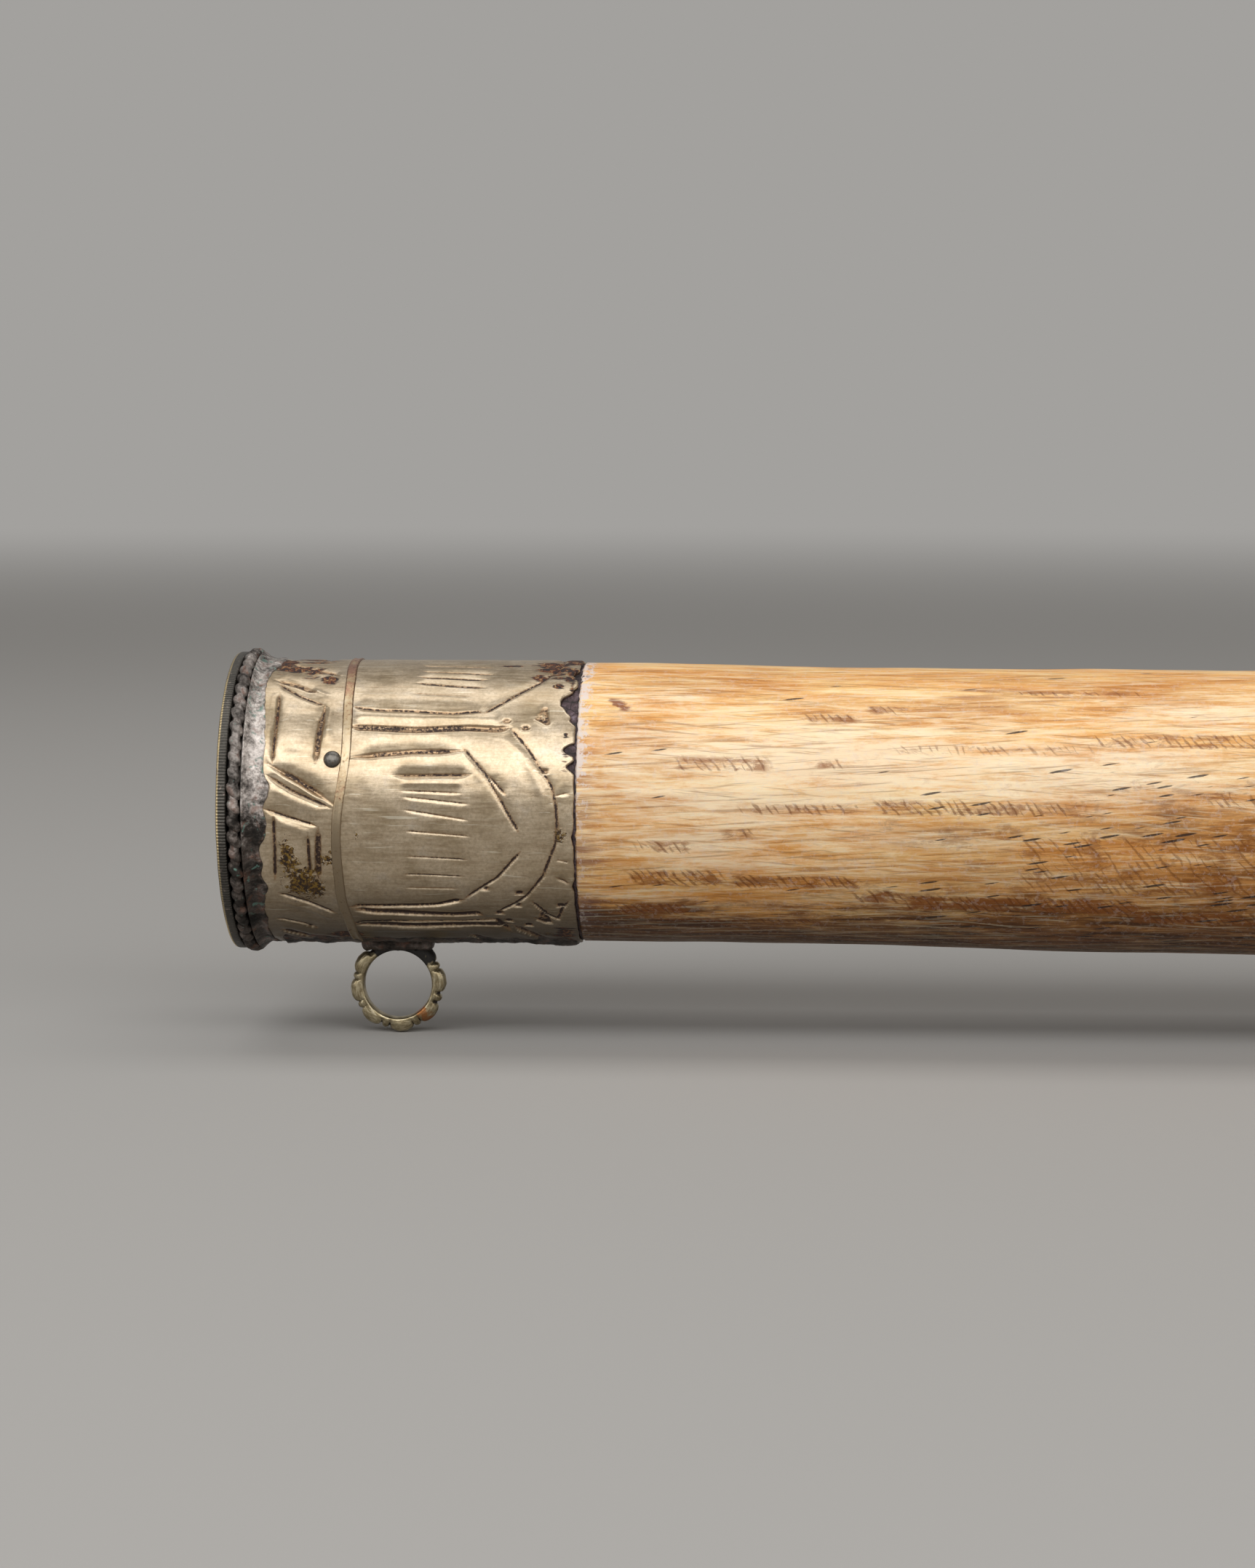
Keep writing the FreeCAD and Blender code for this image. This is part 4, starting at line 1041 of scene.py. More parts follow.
wear(mouth_band, "stain", band_x, sheet_angles, [
    (5.4, 80, 1.3, 3.2, 1.0), (7.0, 72, 2.0, 1.2, 1.0), (8.6, 70, 1.6, 1.4, 0.95),
    (10.2, 63, 1.1, 1.0, 1.0),
    (8.6, 84, 2.4, 2.0, 0.7), (11.4, -66, 1.2, 1.8, 0.9), (9.0, 170, 1.6, 1.6, 0.8),
    (7.0, -75, 2.5, 2.2, 0.7), (5.6, 41, 0.35, 0.35, 0.55),
])
wear(mouth_band, "rust", band_x, sheet_angles, [
    (8.2, -28, 1.5, 1.9, 1.2), (6.9, -18, 0.8, 2.0, 1.0), (9.3, -31, 1.1, 1.3, 1.15),
    (10.9, -18, 0.7, 0.55, 0.85), (11.3, -15, 0.4, 0.4, 0.7), (8.0, 130, 1.4, 1.6, 0.9),
    (9.4, -140, 1.2, 1.0, 0.8),
])
wear(petal_sleeve, "stain", sleeve_x, sheet_angles, [
    (31.2, 66, 0.9, 0.8, 0.95), (32.5, 76, 2.4, 2.4, 0.95), (33.0, 68.5, 1.4, 0.9, 0.9),
    (34.2, 69, 0.6, 1.6, 1.0), (33.1, 59, 0.6, 0.5, 0.95), (28.4, 77, 1.6, 0.7, 0.5),
    (34.5, 56, 0.3, 2.4, 0.6), (34.2, 22, 0.6, 1.9, 0.6), (34.4, 86, 1.2, 3.0, 0.9),
    (33.6, -66, 1.4, 3.0, 0.9), (12.6, -64, 0.9, 1.6, 0.9), (15.0, -70, 3.0, 1.2, 0.5),
    (34.2, 33.5, 0.35, 0.3, 0.9), (20.0, 160, 2.6, 1.6, 0.7), (30.0, -150, 1.8, 1.6, 0.7),
    (34.5, 140, 0.9, 2.6, 0.8),
])
wear(petal_sleeve, "rust", sleeve_x, sheet_angles, [
    (33.8, -7.5, 0.6, 0.55, 0.75), (13.8, -8, 0.16, 0.5, 0.7), (32.0, -62, 0.7, 0.6, 0.6),
    (25.0, 150, 1.2, 1.2, 0.8), (18.0, -120, 0.9, 1.3, 0.8),
])


def at_corners(piece):
    """The piece's corners in millimetres."""
    flat = np.zeros(len(piece.data.vertices) * 3)
    piece.data.vertices.foreach_get("co", flat)
    return flat.reshape(-1, 3) / MM


def mark_bone(bone):
    """Where the bone is chattered, dashed, browned or stained, by place along and round it, and where it
    is painted paler as sheen or darker as shade.
    """
    points = at_corners(bone)
    x = points[:, 0]
    degrees = np.degrees(np.arctan2(points[:, 2], -points[:, 1]))

    def total(places):
        """Soft-edged patches: from, to along the bone, from, to in degrees, depth."""
        whole = 0
        for first, last, low, high, depth in places:
            along = soft_step(x, first, first + 1.2) * (1 - soft_step(x, last - 1.2, last))
            round_way = soft_step(degrees, low, low + 1.5) * (1 - soft_step(degrees, high - 1.5, high))
            whole = whole + along * round_way * depth
        return np.clip(whole, 0, 1)

    def pool(places):
        """Soft long patches: place, degrees, half length, half width in mm, depth."""
        return around_stain(x, np.radians(degrees), places)

    # rows of short slanting marks left by the scraper
    store(bone, "chatter", total([
        (44.5, 54.5, 18.5, 25.5, 0.7), (57, 63, 41, 46, 1.0), (63, 68.5, 45, 51, 0.8),
        (58, 62, 20, 24.5, 0.8), (51, 63.5, 1, 6, 0.8), (64, 85, 1, 8, 0.8),
        (40.5, 47, -15, -9, 0.7), (49, 53, -9, -4, 0.7), (40, 50, -30, -22, 0.9),
        (50, 63.5, -31, -24, 0.9), (62, 68, -38, -31, 0.9), (38.5, 46.5, -46, -39, 1.0),
        (66, 86, 26, 31, 0.45), (85, 103, 29, 36, 0.8), (67, 91, -42, -33, 1.0),
        (78, 140, -32, -6, 0.42), (40, 60, -52, -48, 0.8), (88, 108, -48, -40, 0.8),
        (77, 91, 57, 61, 0.7), (96, 118, 5, 12, 0.7), (104, 132, -20, -12, 0.7),
        (120, 150, 38, 46, 0.6), (60, 84, 128, 136, 0.7), (90, 120, -130, -122, 0.7),
        (70, 100, 160, 168, 0.6), (130, 165, 110, 118, 0.5), (140, 180, -60, -50, 0.6),
    ]))
    low_right = soft_step(x, 50, 92) * soft_step(-degrees, -32, 8)
    store(bone, "dashes", np.clip(0.07 + 0.93 * low_right, 0, 1) * (1 - soft_step(x, 170, 235)))
    # pale residue by the sleeve, thinned towards the underside: painted shade there
    store(bone, "residue", (1 - soft_step(x, 35.3, 37.0)) * (0.2 + 0.8 * soft_step(degrees, -6, 30)))
    store(bone, "scabs", soft_step(degrees, 52, 64) * (1 - soft_step(x, 35.6, 36.3)))
    # cream pools: real rubbed patches, and on the near front also a painted sheen
    store(bone, "cream_and_painted_sheen", np.clip(pool([
        (58, 24, 26, 5.5, 1.0), (50, 6, 16, 3.4, 0.95), (84, 18, 18, 4.2, 0.95), (96, 46, 12, 3.0, 0.7),
        (46, -9, 11, 2.6, 0.85), (64, -6, 12, 2.2, 0.6),
        (44, 52, 8, 3.0, 0.5), (50, -18, 14, 1.6, 0.6), (62, -20, 12, 1.6, 0.5), (44, -36, 8, 1.0, 0.5),
        (60, -37, 16, 1.0, 0.4), (130, 20, 30, 5, 0.8), (170, 35, 30, 6, 0.8), (90, 140, 40, 6, 0.7),
        (150, -170, 40, 6, 0.7), (80, -100, 30, 4, 0.3), (290, 60, 26, 16, 0.6),
        (292, -20, 24, 12, 0.6), (290, 170, 26, 18, 0.6), (270, -90, 24, 10, 0.4)]), 0, 1))
    store(bone, "purple", pool([
        (35.4, -18, 3.0, 4.5, 0.9), (35.3, 38, 1.8, 6.0, 0.45), (35.2, -40, 2.6, 4.5, 0.9),
        (35.6, 8, 2.6, 5.0, 0.65),
        (60, 43, 4.0, 0.9, 0.6), (78, 58, 14, 1.6, 0.55), (72, 46, 10, 1.8, 0.4)]))
    # painted shade: the underside is darkened all along, and real brown stains are laid in as patches
    # over it
    painted_underside = soft_step(-degrees, 22, 66) * (1 - soft_step(-degrees, 118, 150))
    store(bone, "stain_and_underside_shade", np.clip(0.95 * painted_underside + pool([
        (36.2, -52, 4.6, 2.6, 0.95), (41, -44, 3.4, 0.9, 0.5), (80, -38, 15, 1.7, 0.55),
        (37.5, -58, 7.0, 3.0, 0.8),
        (48, -27, 8.0, 1.3, 0.30), (60, -29, 6.0, 1.3, 0.35), (92, -22, 16, 4.5, 0.35),
        (44, -41, 4.5, 0.9, 0.55), (66, -33, 4.0, 1.2, 0.4), (104, -30, 16, 5.0, 0.5),
        (106, -8, 12, 1.6, 0.45), (84, -38, 26, 3.2, 0.4),
        (98, -3, 13, 4.5, 0.6), (99, -24, 17, 4.5, 0.6), (74, -5, 12, 1.6, 0.4),
        (76, -22, 14, 2.0, 0.35)]), 0, 1))
    store(bone, "warmed", np.clip(pool([
        (48, 66, 13, 3.2, 0.8), (62, 52, 8, 2.2, 0.55), (74, 49, 12, 2.8, 0.85), (41, 24, 7, 2.4, 0.55),
        (90, 62, 14, 3.5, 0.8), (43, 6, 6, 1.1, 0.65), (50, -7, 14, 1.2, 0.6), (57, 4, 9, 0.9, 0.6),
        (66, 4, 8, 1.4, 0.5), (70, -8, 14, 3.0, 0.5), (80, -12, 16, 5.5, 0.7), (96, 2, 14, 3.5, 0.7),
        (99, 24, 12, 2.0, 0.4), (52, 74, 10, 3.0, 0.6), (78, 72, 20, 2.2, 0.5), (41, -24, 6, 2.5, 0.6),
        (55, -27, 10, 2.0, 0.7), (100, -25, 18, 6.0, 1.0), (41, -8, 5, 1.6, 0.35),
        (92, -8, 14, 3.4, 0.9), (84, 4, 8, 1.0, 0.7), (110, 6, 22, 3.0, 0.8), (40, 34, 5, 3.0, 0.6),
        (38, 14, 4, 3.4, 0.55), (38, -12, 4, 4.0, 0.6),
        (74, -7, 14, 2.6, 0.8), (80, -26, 20, 4.5, 0.9), (64, -32, 10, 2.0, 0.5),
        (294, 30, 20, 9, 0.5), (286, -130, 24, 12, 0.5), (300, 120, 12, 10, 0.4),
        (130, 30, 30, 6, 0.6), (150, -10, 34, 7, 0.7), (190, 40, 30, 8, 0.6), (70, 110, 40, 6, 0.6),
        (60, 160, 30, 7, 0.7), (120, 150, 40, 8, 0.6), (100, -140, 40, 8, 0.7), (180, -120, 40, 9, 0.7),
        (190, 170, 30, 9, 0.6)]), 0, 1))
    store(bone, "reddened", pool([
        (39.2, 49.5, 0.7, 0.5, 1.0), (39.9, 47.5, 0.5, 0.35, 0.9), (38.7, 51.5, 0.5, 0.3, 0.7)]))
    radius = np.hypot(points[:, 1], points[:, 2])
    bored = (radius < 7.1) & (x > 1.2)
    chamber = (points - [CHAMBER_X, 0, CHAMBER_Z]) / np.array(CHAMBER_HALF)
    bored |= np.linalg.norm(chamber, axis=1) < 1.03
    for side in (-1, 1):
        gap = np.hypot(points[:, 1] - BELL_Y * side, points[:, 2] - BELL_Z)
        bored |= (gap < BELL_R + 0.1) & (x > CHAMBER_X)
    store(bone, "bored", bored.astype(float))
    store(bone, "knee", soft_step(x, 225, 285))


mark_bone(thighbone)


# finishes
def finish(name, recipe, *amounts):
    """A new material. Its recipe gives what goes into its shader, from a way to add nodes and
    the place on the object in millimetres."""
    material = bpy.data.materials.new(name)
    material.use_nodes = True
    tree = material.node_tree
    add = functools.partial(put, tree)
    place = add("scaled", add("ShaderNodeTexCoord", out="Object"), 1 / MM)
    fill(tree, tree.nodes["Principled BSDF"], recipe(add, place, *amounts))
    return material


def silvered_sheet(add, place):
    """Thin brass sheet, silvered and chased by hand: bright on the raised parts, brown and dark
    with old polish in the grooves, with fine rubbed scratches along it and a few rust blooms;
    a painted highlight runs along the lower edge of each line, and the underside has painted shade."""
    marks = ("line", "valley", "painted_highlight", "stain", "rust")
    line, valley, painted_highlight, stain, rust = [add("mark", attribute_name=name) for name in marks]
    height = add("split", place, out="Z")
    cloud = add("noise", place, 0.28, 5, 0.6)
    dust = add("noise", place, 3.2, 4, 0.7)
    drawn = add("drawn", place, (0.12, 1, 1), (0, 0.07, 0))
    wear_and_highlight = add("noise", drawn, 2.6, 5, 0.72)
    torn = add("noise", drawn, 1.3, 5, 0.7)
    branch = add("noise", place, 1.9, 6, 0.75, 0.6)
    metal = add("ramp", cloud, stops=[
        (0.30, "#9d8869"), (0.47, "#b9a488"), (0.60, "#ccb89d"), (0.74, "#bbaea0")])
    scuffed = add("ramp", wear_and_highlight, stops=[(0.35, "#8a7656"), (0.6, "#efe3c8")])
    metal = add("wash", 0.22, metal, scuffed)
    # a grain of dull specks a fifth of a millimetre wide, and pale hairline scratches
    metal = add("wash", add("spread", dust, 0.40, 0.66, 0, 0.45), metal, "#8f7e66")
    hair = add("noise", add("drawn", place, (0.05, 1, 1), (0, 0.05, 0)), 3.6, 2)
    metal = add("wash", add("spread", hair, 0.66, 0.72, 0, 0.6), metal, "#efe6d0")
    # painted shade: a dark brown wash that deepens towards the underside
    metal = add("wash", add("spread", height, -5.5, -12.5, 0, 0.8), metal, "#46392a")
    # the worn copper colour beside each groove, broken up by fine specks; lower down the lines
    # are painted darker as shade on the underside
    broken = add("times", add("spread", dust, 0.38, 0.62, 0.55, 1.35),
                 add("spread", torn, 0.38, 0.62, 0.6, 1.3))
    broken = add("times", broken, add("spread", height, 2, -6, 1, 1.5))
    groove = add("times", line, broken)
    black = add("spread", groove, 0.72, 1.15)
    metal = add("wash", add("times", valley, 0.24), metal, "#7d6a48")
    metal = add("wash", add("times", add("spread", groove, 0.12, 0.6), 0.7), metal, "#9a7a5a")
    metal = add("wash", black, metal, "#2f1c12")
    # painted highlight: a pale wash along the lower edge of each line, broken by specks
    painted_highlight = add("times", painted_highlight, add("spread", dust, 0.38, 0.62, 0.9, 0.4))
    metal = add("wash", painted_highlight, metal, "#f6e3c4")
    # brown stain and branching rust
    stain = add("plus", stain, add("spread", torn, 0.35, 0.65, -0.85, -0.02))
    stain = add("spread", stain, 0, 0.18)
    rust = add("plus", rust, add("spread", branch, 0.36, 0.58, -1, -0.05))
    rust = add("spread", rust, 0, 0.16)
    metal = add("wash", stain, metal, add("ramp", branch, stops=[
        (0.47, "#1d0f0c"), (0.52, "#47200f"), (0.57, "#7c4721"), (0.63, "#a08c62")]))
    metal = add("wash", rust, metal, add("ramp", dust, stops=[
        (0.42, "#1f1206"), (0.50, "#4f3410"), (0.58, "#7d6224")]))
    dull = add("larger", add("larger", black, stain), rust)
    dull = add("larger", dull, add("times", painted_highlight, 0.7))
    gloss = add("plus", add("spread", wear_and_highlight, 0.3, 0.7, 0.26, 0.40), add("times", dull, 0.3))
    # 0.3 to 2 mm unevenness of hand-beaten sheet, and scratches a tenth of a millimetre wide
    relief = add("bump", cloud, 0.14, 0.0003)
    relief = add("bump", wear_and_highlight, 0.16, 0.00008, relief)
    relief = add("bump", rust, 0.5, 0.0001, relief)
    bare = add("spread", dull, 0, 1, 0.86, 0.15)
    return {"Base Color": metal, "Metallic": bare, "Roughness": gloss, "Normal": relief}


def worn_ridge(add, place):
    """The same silvered strip with its silver rubbed through to red copper along the top."""
    cloud = add("noise", place, 0.22, 4, 0.65)
    dust = add("noise", place, 2.5, 5, 0.7)
    height = add("split", place, out="Z")
    upper = add("spread", height, 9.5, 13.5, -0.08, 0.16)
    # painted shade: lower down the colour is pushed towards the darker stops
    shown = add("plus", add("plus", cloud, upper), add("spread", height, -2, -12, 0, 0.10))
    shown = add("plus", shown, add("spread", dust, 0.35, 0.65, -0.1, 0.1))
    metal = add("ramp", shown, stops=[
        (0.38, "#c2b093"), (0.52, "#b9a280"), (0.62, "#ad8a6e"), (0.76, "#9a7464")])
    edge = add("times", add("mark", attribute_name="edge"),
               add("spread", dust, 0.35, 0.6, 0.2, 1))
    edge = add("times", edge, add("spread", height, -3, 8, 0.1, 1))
    # painted shade: a darker wash towards the underside
    metal = add("wash", add("spread", height, 5, -3, 0, 0.8), metal, "#80705a")
    metal = add("wash", edge, metal, "#5e3f26")
    metal = add("wash", add("spread", dust, 0.60, 0.72), metal, "#4a2f1c")
    return {"Base Color": metal, "Metallic": 0.85, "Normal": add("bump", dust, 0.3, 0.0001),
            "Roughness": add("spread", dust, 0.3, 0.7, 0.30, 0.46)}


def black_solder(add, place, verdigris, wear_and_highlight):
    """Soft solder gone grey-black, pitted, with reddish and green specks; painted pale grey a
    little above the middle as a painted highlight on the side the lamps light."""
    cloud = add("noise", place, 0.45, 6, 0.7)
    dust = add("noise", place, 2.4, 5, 0.72)
    height = add("split", place, out="Z")
    base = add("ramp", cloud, stops=[
        (0.30, "#1c1a18"), (0.44, "#38332f"), (0.56, "#5f5650"), (0.72, "#8a807a")])
    # painted highlight: the pale grey that is washed in on the upper side
    painted_highlight = add("ramp", add("times", add("plus", cloud, dust), 0.5), stops=[
        (0.38, "#6d6661"), (0.46, "#b3aaa3"), (0.53, "#dad1ca"), (0.62, "#f6eee7")])
    # painted highlight: the share rises with height to a little above the middle and eases off near the
    # top
    painted_lit_side = add("times", add("spread", height, -4, 4.5), add("spread", height, 10, 14.5, 1, 0.45))
    painted_lit_side = add("plus", painted_lit_side, add("spread", cloud, 0.34, 0.62, -0.5, 0.15))
    base = add("wash", add("spread", painted_lit_side, 0.1, 0.8, 0, wear_and_highlight), base, painted_highlight)
    warm = add("noise", place, 0.9, 4, 0.5, 0.4)
    base = add("wash", add("spread", warm, 0.56, 0.70, 0, 0.7), base, "#74503f")
    green = add("noise", place, 1.15, 5, 0.5, 0.9)
    green = add("spread", green, verdigris, verdigris + 0.06, 0, 0.8)
    base = add("wash", green, base, "#6f8f84")
    relief = add("bump", dust, 0.75, 0.0003)
    relief = add("bump", add("cells", place, 1.6), 0.35, 0.0002, relief)
    return {"Base Color": base, "Metallic": 0.85, "Normal": relief,
            "Roughness": add("spread", cloud, 0.3, 0.7, 0.6, 0.36)}


def filed_plate(add, place):
    """Sheet brass gone dark grey, its edge left bright from the file in close fine strokes."""
    along, across, height = add("split", place).node.outputs
    cloud = add("noise", place, 0.3, 5, 0.65)
    dust = add("noise", place, 2.2, 4)
    # 300 strokes round the edge: one each 0.32 mm
    turn = add("turn", height, add("times", across, -1))
    stroke = add("sine", add("times", turn, 300))
    radius = add("length", add("vector", place, (0, 1, 1), operation="MULTIPLY"))
    edge = add("spread", radius, 14.75, 15)
    base = add("ramp", cloud, stops=[(0.32, "#2b2a27"), (0.5, "#403e3a"), (0.7, "#5a5650")])
    worn = add("times", add("spread", stroke, -1, 1, 0.15, 0.8), edge)
    base = add("wash", worn, base, "#5c5852")
    arris = add("times", add("spread", along, 0.32, 0.18), add("spread", radius, 14.9, 15.05))
    base = add("wash", arris, base, "#d8c294")
    base = add("wash", add("spread", dust, 0.6, 0.72, 0, 0.8), base, "#8c8078")
    relief = add("bump", add("times", stroke, edge), 0.5, 0.00005)
    relief = add("bump", dust, 0.3, 0.0002, relief)
    return {"Base Color": base, "Metallic": 0.9, "Normal": relief,
            "Roughness": add("spread", cloud, 0.3, 0.7, 0.34, 0.58)}


def hardened_pitch(add, place):
    """Old chaser's pitch: almost black, cracked and dull, a little red where it is thin."""
    cloud = add("noise", place, 0.8, 6, 0.7)
    base = add("ramp", cloud, stops=[
        (0.30, "#1d1413"), (0.46, "#3d2f30"), (0.58, "#5d4c50"), (0.72, "#8d8088")])
    crack = add("cells", place, 1.1, feature="DISTANCE_TO_EDGE")
    base = add("wash", add("spread", crack, 0, 0.07, 1, 0), base, "#0d0807")
    return {"Base Color": base, "Specular IOR Level": 0.35,
            "Roughness": add("spread", cloud, 0.3, 0.7, 0.38, 0.75),
            "Normal": add("bump", cloud, 0.7, 0.0004)}


def forged_pin(add, place):
    """A hand-filed iron pin, grey-black and smooth from rubbing."""
    cloud = add("noise", place, 1.6, 5, 0.7)
    base = add("ramp", cloud, stops=[(0.35, "#4c4945"), (0.55, "#6e6a64"), (0.72, "#66584a")])
    return {"Base Color": base, "Metallic": 0.9, "Normal": add("bump", cloud, 0.3, 0.0001),
            "Roughness": add("spread", cloud, 0.3, 0.7, 0.24, 0.42)}


def cast_ring(add, place):
    """Cast brass, rubbed pale on its lobes and inner edge, black-brown in the cuts."""
    marks = ("recess", "rusty", "soldered")
    recess, rusty, soldered = [add("mark", attribute_name=name) for name in marks]
    cloud = add("noise", place, 0.7, 5, 0.65)
    # fine scratches that run round the ring: noise on distance from its centre
    away = add("vector", place, (RING_X, 0, RING_Z), operation="SUBTRACT")
    along, across, height = add("split", away).node.outputs
    distance = add("length", add("vector", away, (1, 0, 1), operation="MULTIPLY"))
    wear_and_highlight = add("noise", add("joined", distance, across, add("turn", height, along)), 4.5, 4, 0.7)
    metal = add("ramp", wear_and_highlight, stops=[(0.30, "#74664a"), (0.48, "#a69879"), (0.66, "#d2c6a8")])
    metal = add("wash", add("spread", cloud, 0.44, 0.64, 0, 0.65), metal, "#695c42")
    recess = add("plus", recess, add("spread", cloud, 0.35, 0.65, -0.3, 0.25))
    recess = add("spread", recess, 0.35, 0.8)
    metal = add("wash", recess, metal, "#241a10")
    rusty = add("plus", rusty, add("spread", cloud, 0.4, 0.6, -0.5, 0.2))
    metal = add("wash", add("spread", rusty, 0.3, 0.7, 0, 0.75), metal, "#9a5a26")
    soldered = add("spread", soldered, 0.35, 0.6)
    metal = add("wash", soldered, metal, "#2a2724")
    dull = add("larger", recess, soldered)
    return {"Base Color": metal, "Metallic": add("spread", dull, 0, 1, 0.95, 0.3),
            "Roughness": add("spread", dull, 0, 1, 0.36, 0.6),
            "Normal": add("bump", wear_and_highlight, 0.35, 0.00012)}


def handled_bone(add, place):
    """Old bone, scraped and polished by handling: cream where rubbed, with a painted cream sheen on
    the lit front, honey to brown elsewhere and painted shade on the underside, with long fine
    scratches, rows of scraper chatter, small black pores and a waxy gloss."""
    along, across, height = add("split", place).node.outputs
    turn = add("turn", height, add("times", across, -1))
    marks = ("knee", "chatter", "dashes", "scabs", "bored")
    knee, chatter, dashes, scabs, bored = [add("mark", attribute_name=name) for name in marks]

    def lengthwise(slant, squeeze):
        """The place on the bone, wound round it by a slant in radians per mm and drawn out."""
        wound = add("minus", turn, add("times", along, slant))
        return add("joined", add("times", along, squeeze),
                   add("times", add("cosine", wound), BONE_R), add("times", add("sine", wound), BONE_R))

    def stained(under, code, name, noise, broken, shown):
        """A colour laid over the bone where it is marked, broken up by a noise."""
        share = add("plus", add("mark", attribute_name=name), add("spread", noise, *broken))
        return add("wash", add("spread", share, *shown), under, code)

    tone = add("noise", add("drawn", place, (0.22, 1, 1)), 0.22, 5, 0.6, 0.4)
    streak = add("noise", add("drawn", place, (0.08, 1, 1)), 1.4, 7, 0.68)
    cloud = add("noise", add("drawn", place, (0.35, 1, 1)), 0.75, 6, 0.72, 0.4)
    crust = add("noise", place, 1.8, 5, 0.7)
    # scratches 0.15 mm wide and tens of millimetres long, in two directions a few degrees apart
    scratch_a = add("noise", lengthwise(0.0045, 0.03), 3.6, 3, 0.6)
    scratch_b = add("noise", lengthwise(-0.006, 0.04), 2.8, 3, 0.65)
    # the skin of the knee end is smoother, without the grain of the shaft
    calm = add("spread", knee, 0, 1, 1, 0.15)
    streak = add("ShaderNodeMix", {0: knee, 2: streak, 3: tone})
    shade = add("plus", add("times", streak, 0.35), add("times", tone, 0.65))
    mixed = add("plus", add("times", streak, 0.5), add("times", cloud, 0.5))
    bone = add("ramp", shade, stops=[
        (0.38, "#e6a559"), (0.45, "#f0b56d"), (0.52, "#f8c781"), (0.60, "#fdd899")])
    # cream where rubbed, partly a painted sheen on the lit front, then brown washes, streaked along the
    # grain
    bone = stained(bone, "#ffe9c6", "cream_and_painted_sheen", mixed, (0.40, 0.60, -0.5, 0.25), (0, 0.8, 0, 0.8))
    bone = stained(bone, "#b66d26", "warmed", mixed, (0.38, 0.62, 0.3, -0.5), (0, 1, 0, 0.7))
    flecks = add("spread", cloud, 0.56, 0.72, 0, 0.35)
    bone = add("wash", add("times", flecks, calm), bone, "#b3702e")
    # dark washes: real brown stains, with painted shade on the underside in the same layer
    for code, name, noise, broken, shown in [
        ("#8a521d", "stain_and_underside_shade", cloud, (0.38, 0.62, -0.5, 0.1), (0.1, 0.6, 0, 0.85)),
        ("#381c0a", "stain_and_underside_shade", streak, (0.38, 0.62, 0.25, -0.5), (0.5, 1, 0, 0.85)),
        ("#7a3418", "reddened", cloud, (0.4, 0.6, -0.5, 0.05), (0.1, 0.4, 0, 0.85)),
        ("#6f5257", "purple", streak, (0.36, 0.6, 0.1, -0.5), (0.12, 0.8, 0, 0.65)),
    ]:
        bone = stained(bone, code, name, noise, broken, shown)
    pale = add("larger", add("spread", scratch_a, 0.56, 0.66, 0, 0.4),
               add("spread", scratch_b, 0.57, 0.68, 0, 0.4))
    bone = add("wash", add("times", pale, calm), bone, "#fdf0cf")
    brown = add("larger", add("spread", scratch_a, 0.44, 0.34, 0, 0.5),
                add("spread", scratch_b, 0.42, 0.33, 0, 0.5))
    bone = add("wash", add("times", brown, calm), bone, "#8a5626")
    # scraper chatter: strokes 0.65 mm apart that lean back, each of its own length
    round_way = add("times", turn, BONE_R)
    across = add("plus", add("times", along, 0.79), add("times", round_way, 0.61))
    down = add("minus", add("times", along, 0.61), add("times", round_way, 0.79))
    drift = add("noise", place, 0.35, 3)
    across = add("plus", across, add("times", drift, 1.3))
    wave = add("sine", add("times", across, 2 * math.pi / 0.65))
    wave = add("plus", wave, add("spread", streak, 0.4, 0.6, -0.4, 0.4))
    each = add("noise", add("joined", across, add("times", down, 0.22)), 1.5, 1,
               noise_dimensions="2D")
    each = add("plus", each, add("spread", cloud, 0.4, 0.6, 0.06, -0.06))
    rows = add("plus", chatter, add("spread", each, 0.36, 0.58, -0.9, 0))
    stroke = add("times", add("spread", wave, 0.1, 0.85, 0, 1), add("spread", rows, 0, 0.5, 0, 1))
    bone = stained(bone, "#94561f", "chatter", cloud, (0.42, 0.58, -0.9, -0.05), (0, 0.6, 0, 0.75))
    bone = add("wash", add("times", stroke, 0.58), bone, "#6b350b")
    # black pores: one drawn-out dash to a cell, 0.8 to 2 mm long and 0.1 to 0.2 mm wide, some
    # cells empty
    cells = add("cells", lengthwise(0.0125, 0.11), 2.1)
    chance, other, _ = add("ShaderNodeSeparateColor", cells.node.outputs["Color"]).node.outputs
    kept = add("minus", add("spread", dashes, 0, 1, 0, 0.82), chance)
    bent = add("plus", add("plus", cells, add("spread", other, 0, 1, 0.13, -0.03)),
               add("spread", cloud, 0.35, 0.65, -0.06, 0.06))
    pore = add("times", add("spread", bent, 0.20, 0.27, 1, 0), add("spread", kept, 0, 0.01, 0, 1))
    bone = add("wash", add("times", pore, 0.88), bone, "#241b1a")
    bone = stained(bone, "#e4d6cf", "residue", crust, (0.40, 0.58, -0.7, 0.25), (0.15, 0.65, 0, 0.9))
    scab = add("plus", add("cells", place, 1.1), add("spread", crust, 0.4, 0.6, 0.1, -0.1))
    scab = add("times", add("spread", scab, 0.2, 0.28, 1, 0), scabs)
    bone = add("wash", add("times", scab, 0.9), bone, "#33262a")
